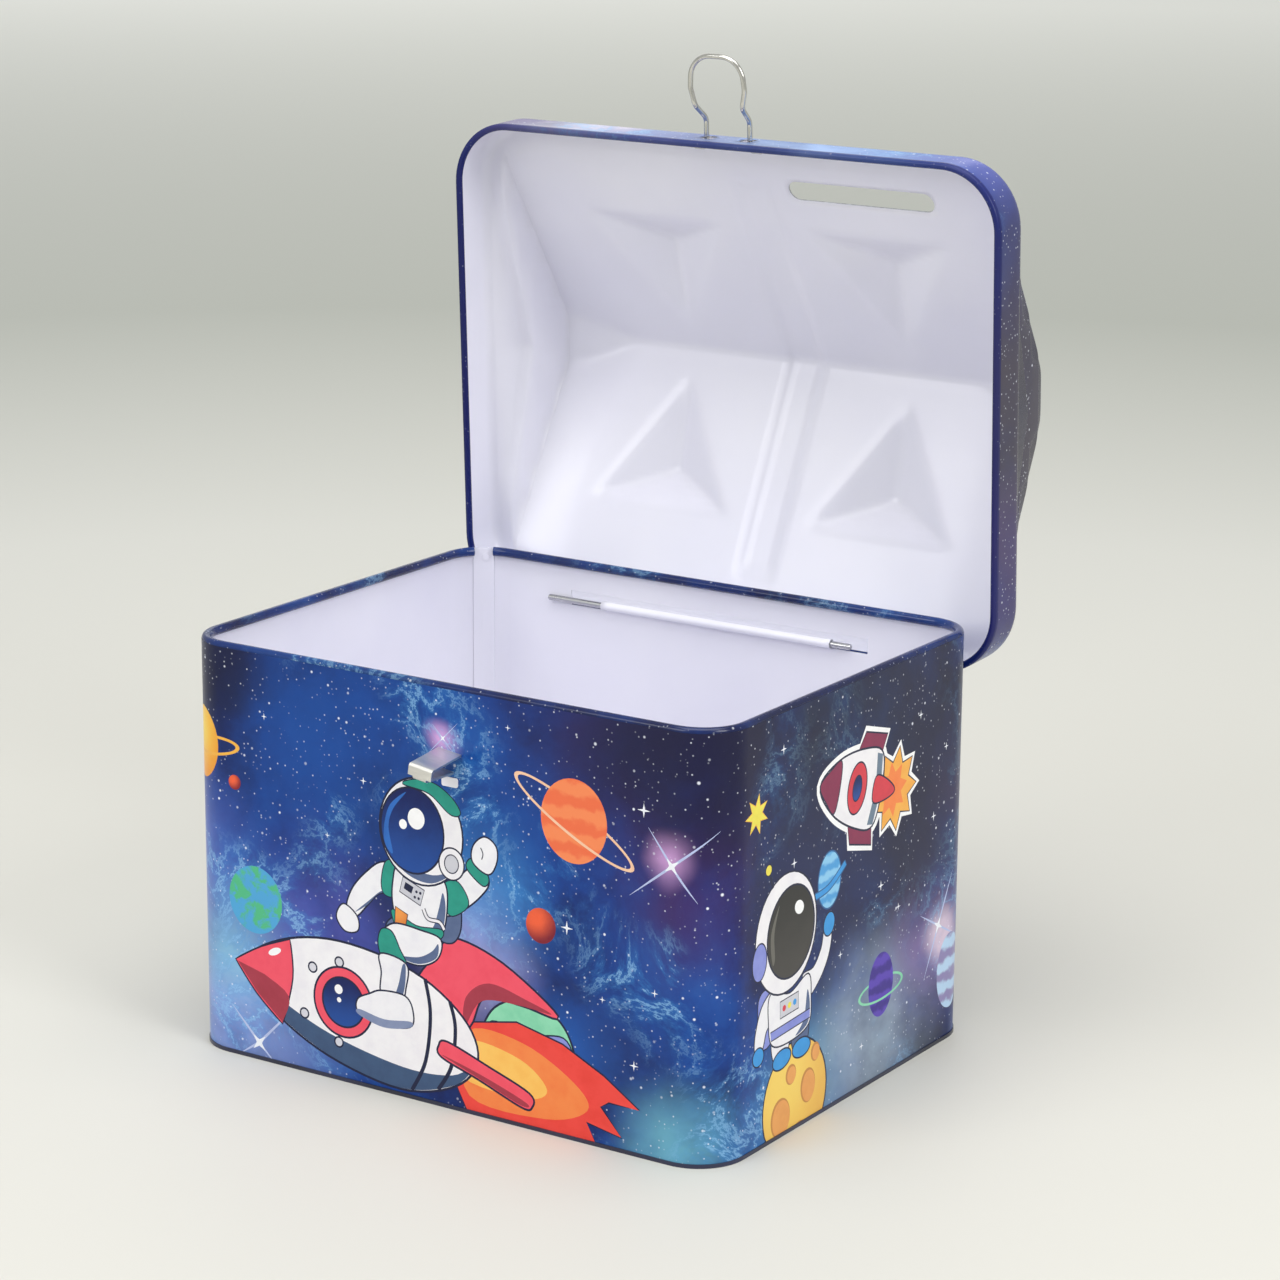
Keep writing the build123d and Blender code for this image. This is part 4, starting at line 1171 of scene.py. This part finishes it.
def make_lid():
    """The lid as one sheet: roof, skirt, rolled rim and hinge tab, thickened inwards."""
    stations = rim_samples()
    count = len(stations)
    verts, faces, indices = [], [], []

    def ring_point(station, inset):
        cx, cv, dx, dv, _ = station
        reach = LID_CORNER - inset
        return cx + dx * reach, cv + dv * reach

    # the roof, inside the rounded edge
    edge = [ring_point(station, LID_EDGE) for station in stations]
    slot = coin_slot_outline()
    points = [*edge, *slot, *roof_grid()]
    loops = [list(range(count))[::-1], list(range(count, count + len(slot)))]
    flat, _, tris, _, _, owners = delaunay_2d_cdt([Vector(p) for p in points], [], loops, 0, WELD / 10)
    verts += [lid_point(x, v, roof_height(x, v)) for x, v in flat]
    for tri, owner in zip(tris, owners):
        if owner == [0]:
            faces.append(list(tri))
            indices.append(0)
    near = {(round(x, 3), round(v, 3)): i for i, (x, v) in enumerate(flat)}
    ring = [near[(round(x, 3), round(v, 3))] for x, v in edge]

    def skin(rows, uses, material, first):
        """Quads between a ring of vertices and new rows below it, for the stations in use."""
        above = first
        for row in rows:
            below = {}
            for i in uses:
                below[i] = len(verts)
                verts.append(row(stations[i]))
            for i in uses:
                j = (i + 1) % count
                whole = j in below and i in above and j in above
                if whole and not hole(stations[i], stations[j], above[i], below[i]):
                    faces.append([above[i], above[j], below[j], below[i]])
                    indices.append(material)
            above = below
        return above

    def level(index):
        """How far above the lid's rim a vertex is."""
        y, z = verts[index][1:]
        dy, dz = y - PIN.y, z - PIN.z
        return PIN.z + dz * cos(OPEN_ANGLE) + dy * sin(OPEN_ANGLE) - LID_RIM_Z

    def hole(a, b, upper, lower):
        """Whether the quad between two stations lies in one of the hasp's holes."""
        if a[4] != "front":
            return False
        x = abs((a[0] + b[0]) / 2)
        n = (level(upper) + level(lower)) / 2
        hole_in, hole_out, hole_low, hole_high = HASP_HOLES
        return hole_in < x < hole_out and hole_low < n < hole_high

    def at(inset, n):
        return lambda station: lid_point(*ring_point(station, inset), n)

    rows = [at(LID_EDGE * (1 - sin(a)), LID_SKIRT - LID_EDGE * (1 - cos(a)))
            for a in (radians(15 * k) for k in range(1, 7))]
    rows += [at(0, n) for n in (HASP_HOLES[3], 6.0, HASP_HOLES[2], 2.5, LID_CURL)]
    bottom = skin(rows, range(count), 0, dict(enumerate(ring)))
    tab = [i for i, (x, _, _, _, run) in enumerate(stations)
           if run == "rear" and TAB_LEFT - FIT <= x <= TAB_RIGHT + FIT]
    curl_uses = [i for i in range(count) if i not in tab[1:-1]]
    curl = [at(LID_CURL * (1 - cos(a)), LID_CURL * (1 - sin(a)))
            for a in (radians(20 * k) for k in range(1, 16))]
    around = [i for i in curl_uses if i > tab[-1]] + [i for i in curl_uses if i <= tab[0]]
    skin(curl, around, 0, bottom)

    # the hinge tab, in through the wall's slot and round the pin
    reach = LID_REAR - PIN.y
    rim = LID_RIM_Z - PIN.z
    profile = [(reach, rim), (reach - 0.04, rim - 0.18), (reach - 0.2, rim - SHEET),
               (TAB_CURL + 0.35, rim - SHEET), (TAB_CURL + 0.1, rim - 0.38), (TAB_CURL, rim - 0.65),
               (TAB_CURL, rim / 3), (TAB_CURL, 0)]
    turns = [radians(-20 * k) for k in range(1, TAB_CURL_END // 20 + 1)]
    profile += [(TAB_CURL * cos(a), TAB_CURL * sin(a)) for a in turns]
    rows = [lambda station, p=p: opened(station[0], PIN.y + p[0], PIN.z + p[1]) for p in profile]
    skin(rows, tab, 1, bottom)

    coat = lacquer("lid_lacquer")
    materials = [lid_print(), lacquer("tab_lacquer"), coat, coat, cut_edge()]
    obj = new_object("lid_pressing", verts, faces, materials, indices)
    work = bmesh.new()
    work.from_mesh(obj.data)
    loose = [v for v in work.verts if not v.link_faces]
    bmesh.ops.delete(work, geom=loose, context="VERTS")
    bmesh.ops.recalc_face_normals(work, faces=work.faces)
    ridge = max(work.faces, key=lambda f: f.calc_center_median().y)
    if ridge.normal.y < 0:
        bmesh.ops.reverse_faces(work, faces=work.faces)
    work.to_mesh(obj.data)
    work.free()
    thick = obj.modifiers.new("sheet", "SOLIDIFY")
    thick.thickness = SHEET * MM
    thick.offset = -1
    thick.use_even_offset = True
    thick.material_offset = 2
    thick.material_offset_rim = 4
    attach(obj, "lid")
    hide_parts("lid")


# --- stage ---------------------------------------------------------------------------------
FLOOR_RADIUS = 3.0
FLOOR_FADE = 2.6          # the floor's tone changes out to this distance


def make_floor():
    """A plain pale floor, whose tone sinks a little away from the box and rises again far off."""
    bpy.ops.mesh.primitive_circle_add(vertices=96, radius=FLOOR_RADIUS, fill_type="NGON")
    floor = bpy.context.active_object
    floor.name = "floor"
    n = Nodes("floor")
    where = n.coords()
    far = n.spread(n.vmath("LENGTH", where), 0.0, FLOOR_FADE, smooth=False)
    n.set("Base Color", n.ramp(far, [
        (0.10, rgb("d3d1ca")), (0.20, rgb("d3d2cc")), (0.38, rgb("babcb4")), (1.0, rgb("f0f0eb")),
    ]))
    n.set("Roughness", 0.6)
    floor.data.materials.append(n.material)


def area_light(name, place, target, size, power):
    data = bpy.data.lights.new(name, "AREA")
    data.shape = "RECTANGLE"
    data.size, data.size_y = size
    data.energy = power
    light = bpy.data.objects.new(name, data)
    light.location = place
    light.rotation_euler = (Vector(target) - Vector(place)).to_track_quat("-Z", "Y").to_euler()
    bpy.context.scene.collection.objects.link(light)


def make_lights():
    """Soft studio light. The Standard view shows the inks in the colours they are mixed to."""
    world = bpy.data.worlds.new("studio")
    world.use_nodes = True
    sky = world.node_tree.nodes["Background"]
    sky.inputs["Color"].default_value = (*rgb("dcdedb"), 1)
    sky.inputs["Strength"].default_value = 0.78
    bpy.context.scene.world = world
    bpy.context.scene.view_settings.view_transform = "Standard"
    middle = (0, 0, 0.09)
    area_light("overhead", (0.1, -0.15, 1.3), middle, (1.2, 1.0), 10.5)
    area_light("front_left", (-0.5, -1.3, 0.95), middle, (0.8, 0.7), 6.2)
    area_light("right", (1.2, -0.3, 0.8), middle, (0.5, 0.7), 6.5)
    area_light("backdrop", (-2.0, 2.4, 1.4), (-2.0, 2.2, 0.0), (2.6, 1.2), 9)


def make_camera():
    """The camera stands to the right of the front, a little above the box."""
    azimuth, elevation, roll = radians(33.256), radians(14.602), radians(0.412)
    target = Vector((0.014669, 0.0, 0.094651))
    distance = 0.842344
    back = Vector((sin(azimuth) * cos(elevation), -cos(azimuth) * cos(elevation), sin(elevation)))
    data = bpy.data.cameras.new("camera")
    data.sensor_width = 36.0
    data.lens = 107.78
    data.clip_start = 0.01
    camera = bpy.data.objects.new("camera", data)
    camera.location = target + back * distance
    turn = (-back).to_track_quat("-Z", "Y").to_matrix() @ Matrix.Rotation(roll, 3, "Z")
    camera.rotation_euler = turn.to_euler()
    bpy.context.scene.collection.objects.link(camera)
    bpy.context.scene.camera = camera


def finish_node(name, material):
    """Gives a CAD node its finish."""
    mesh = NODES[name].data
    mesh.materials.clear()
    mesh.materials.append(material)


make_camera()
make_lights()
make_floor()
finish_node("body_wall", wall_finish())
finish_node("base_plate", base_finish())
finish_node("staple", steel("staple_steel", rgb("e9e7e1"), 0.40, (60.0, 300.0, 300.0)))
finish_node("hinge_pin", steel("pin_steel", rgb("c4c4c6"), 0.25, (60.0, 1500.0, 1500.0)))
finish_node("hasp", steel("hasp_steel", rgb("d4d2cc"), 0.16, (600.0, 600.0, 60.0)))
paint()
print_sheet()
make_lid()
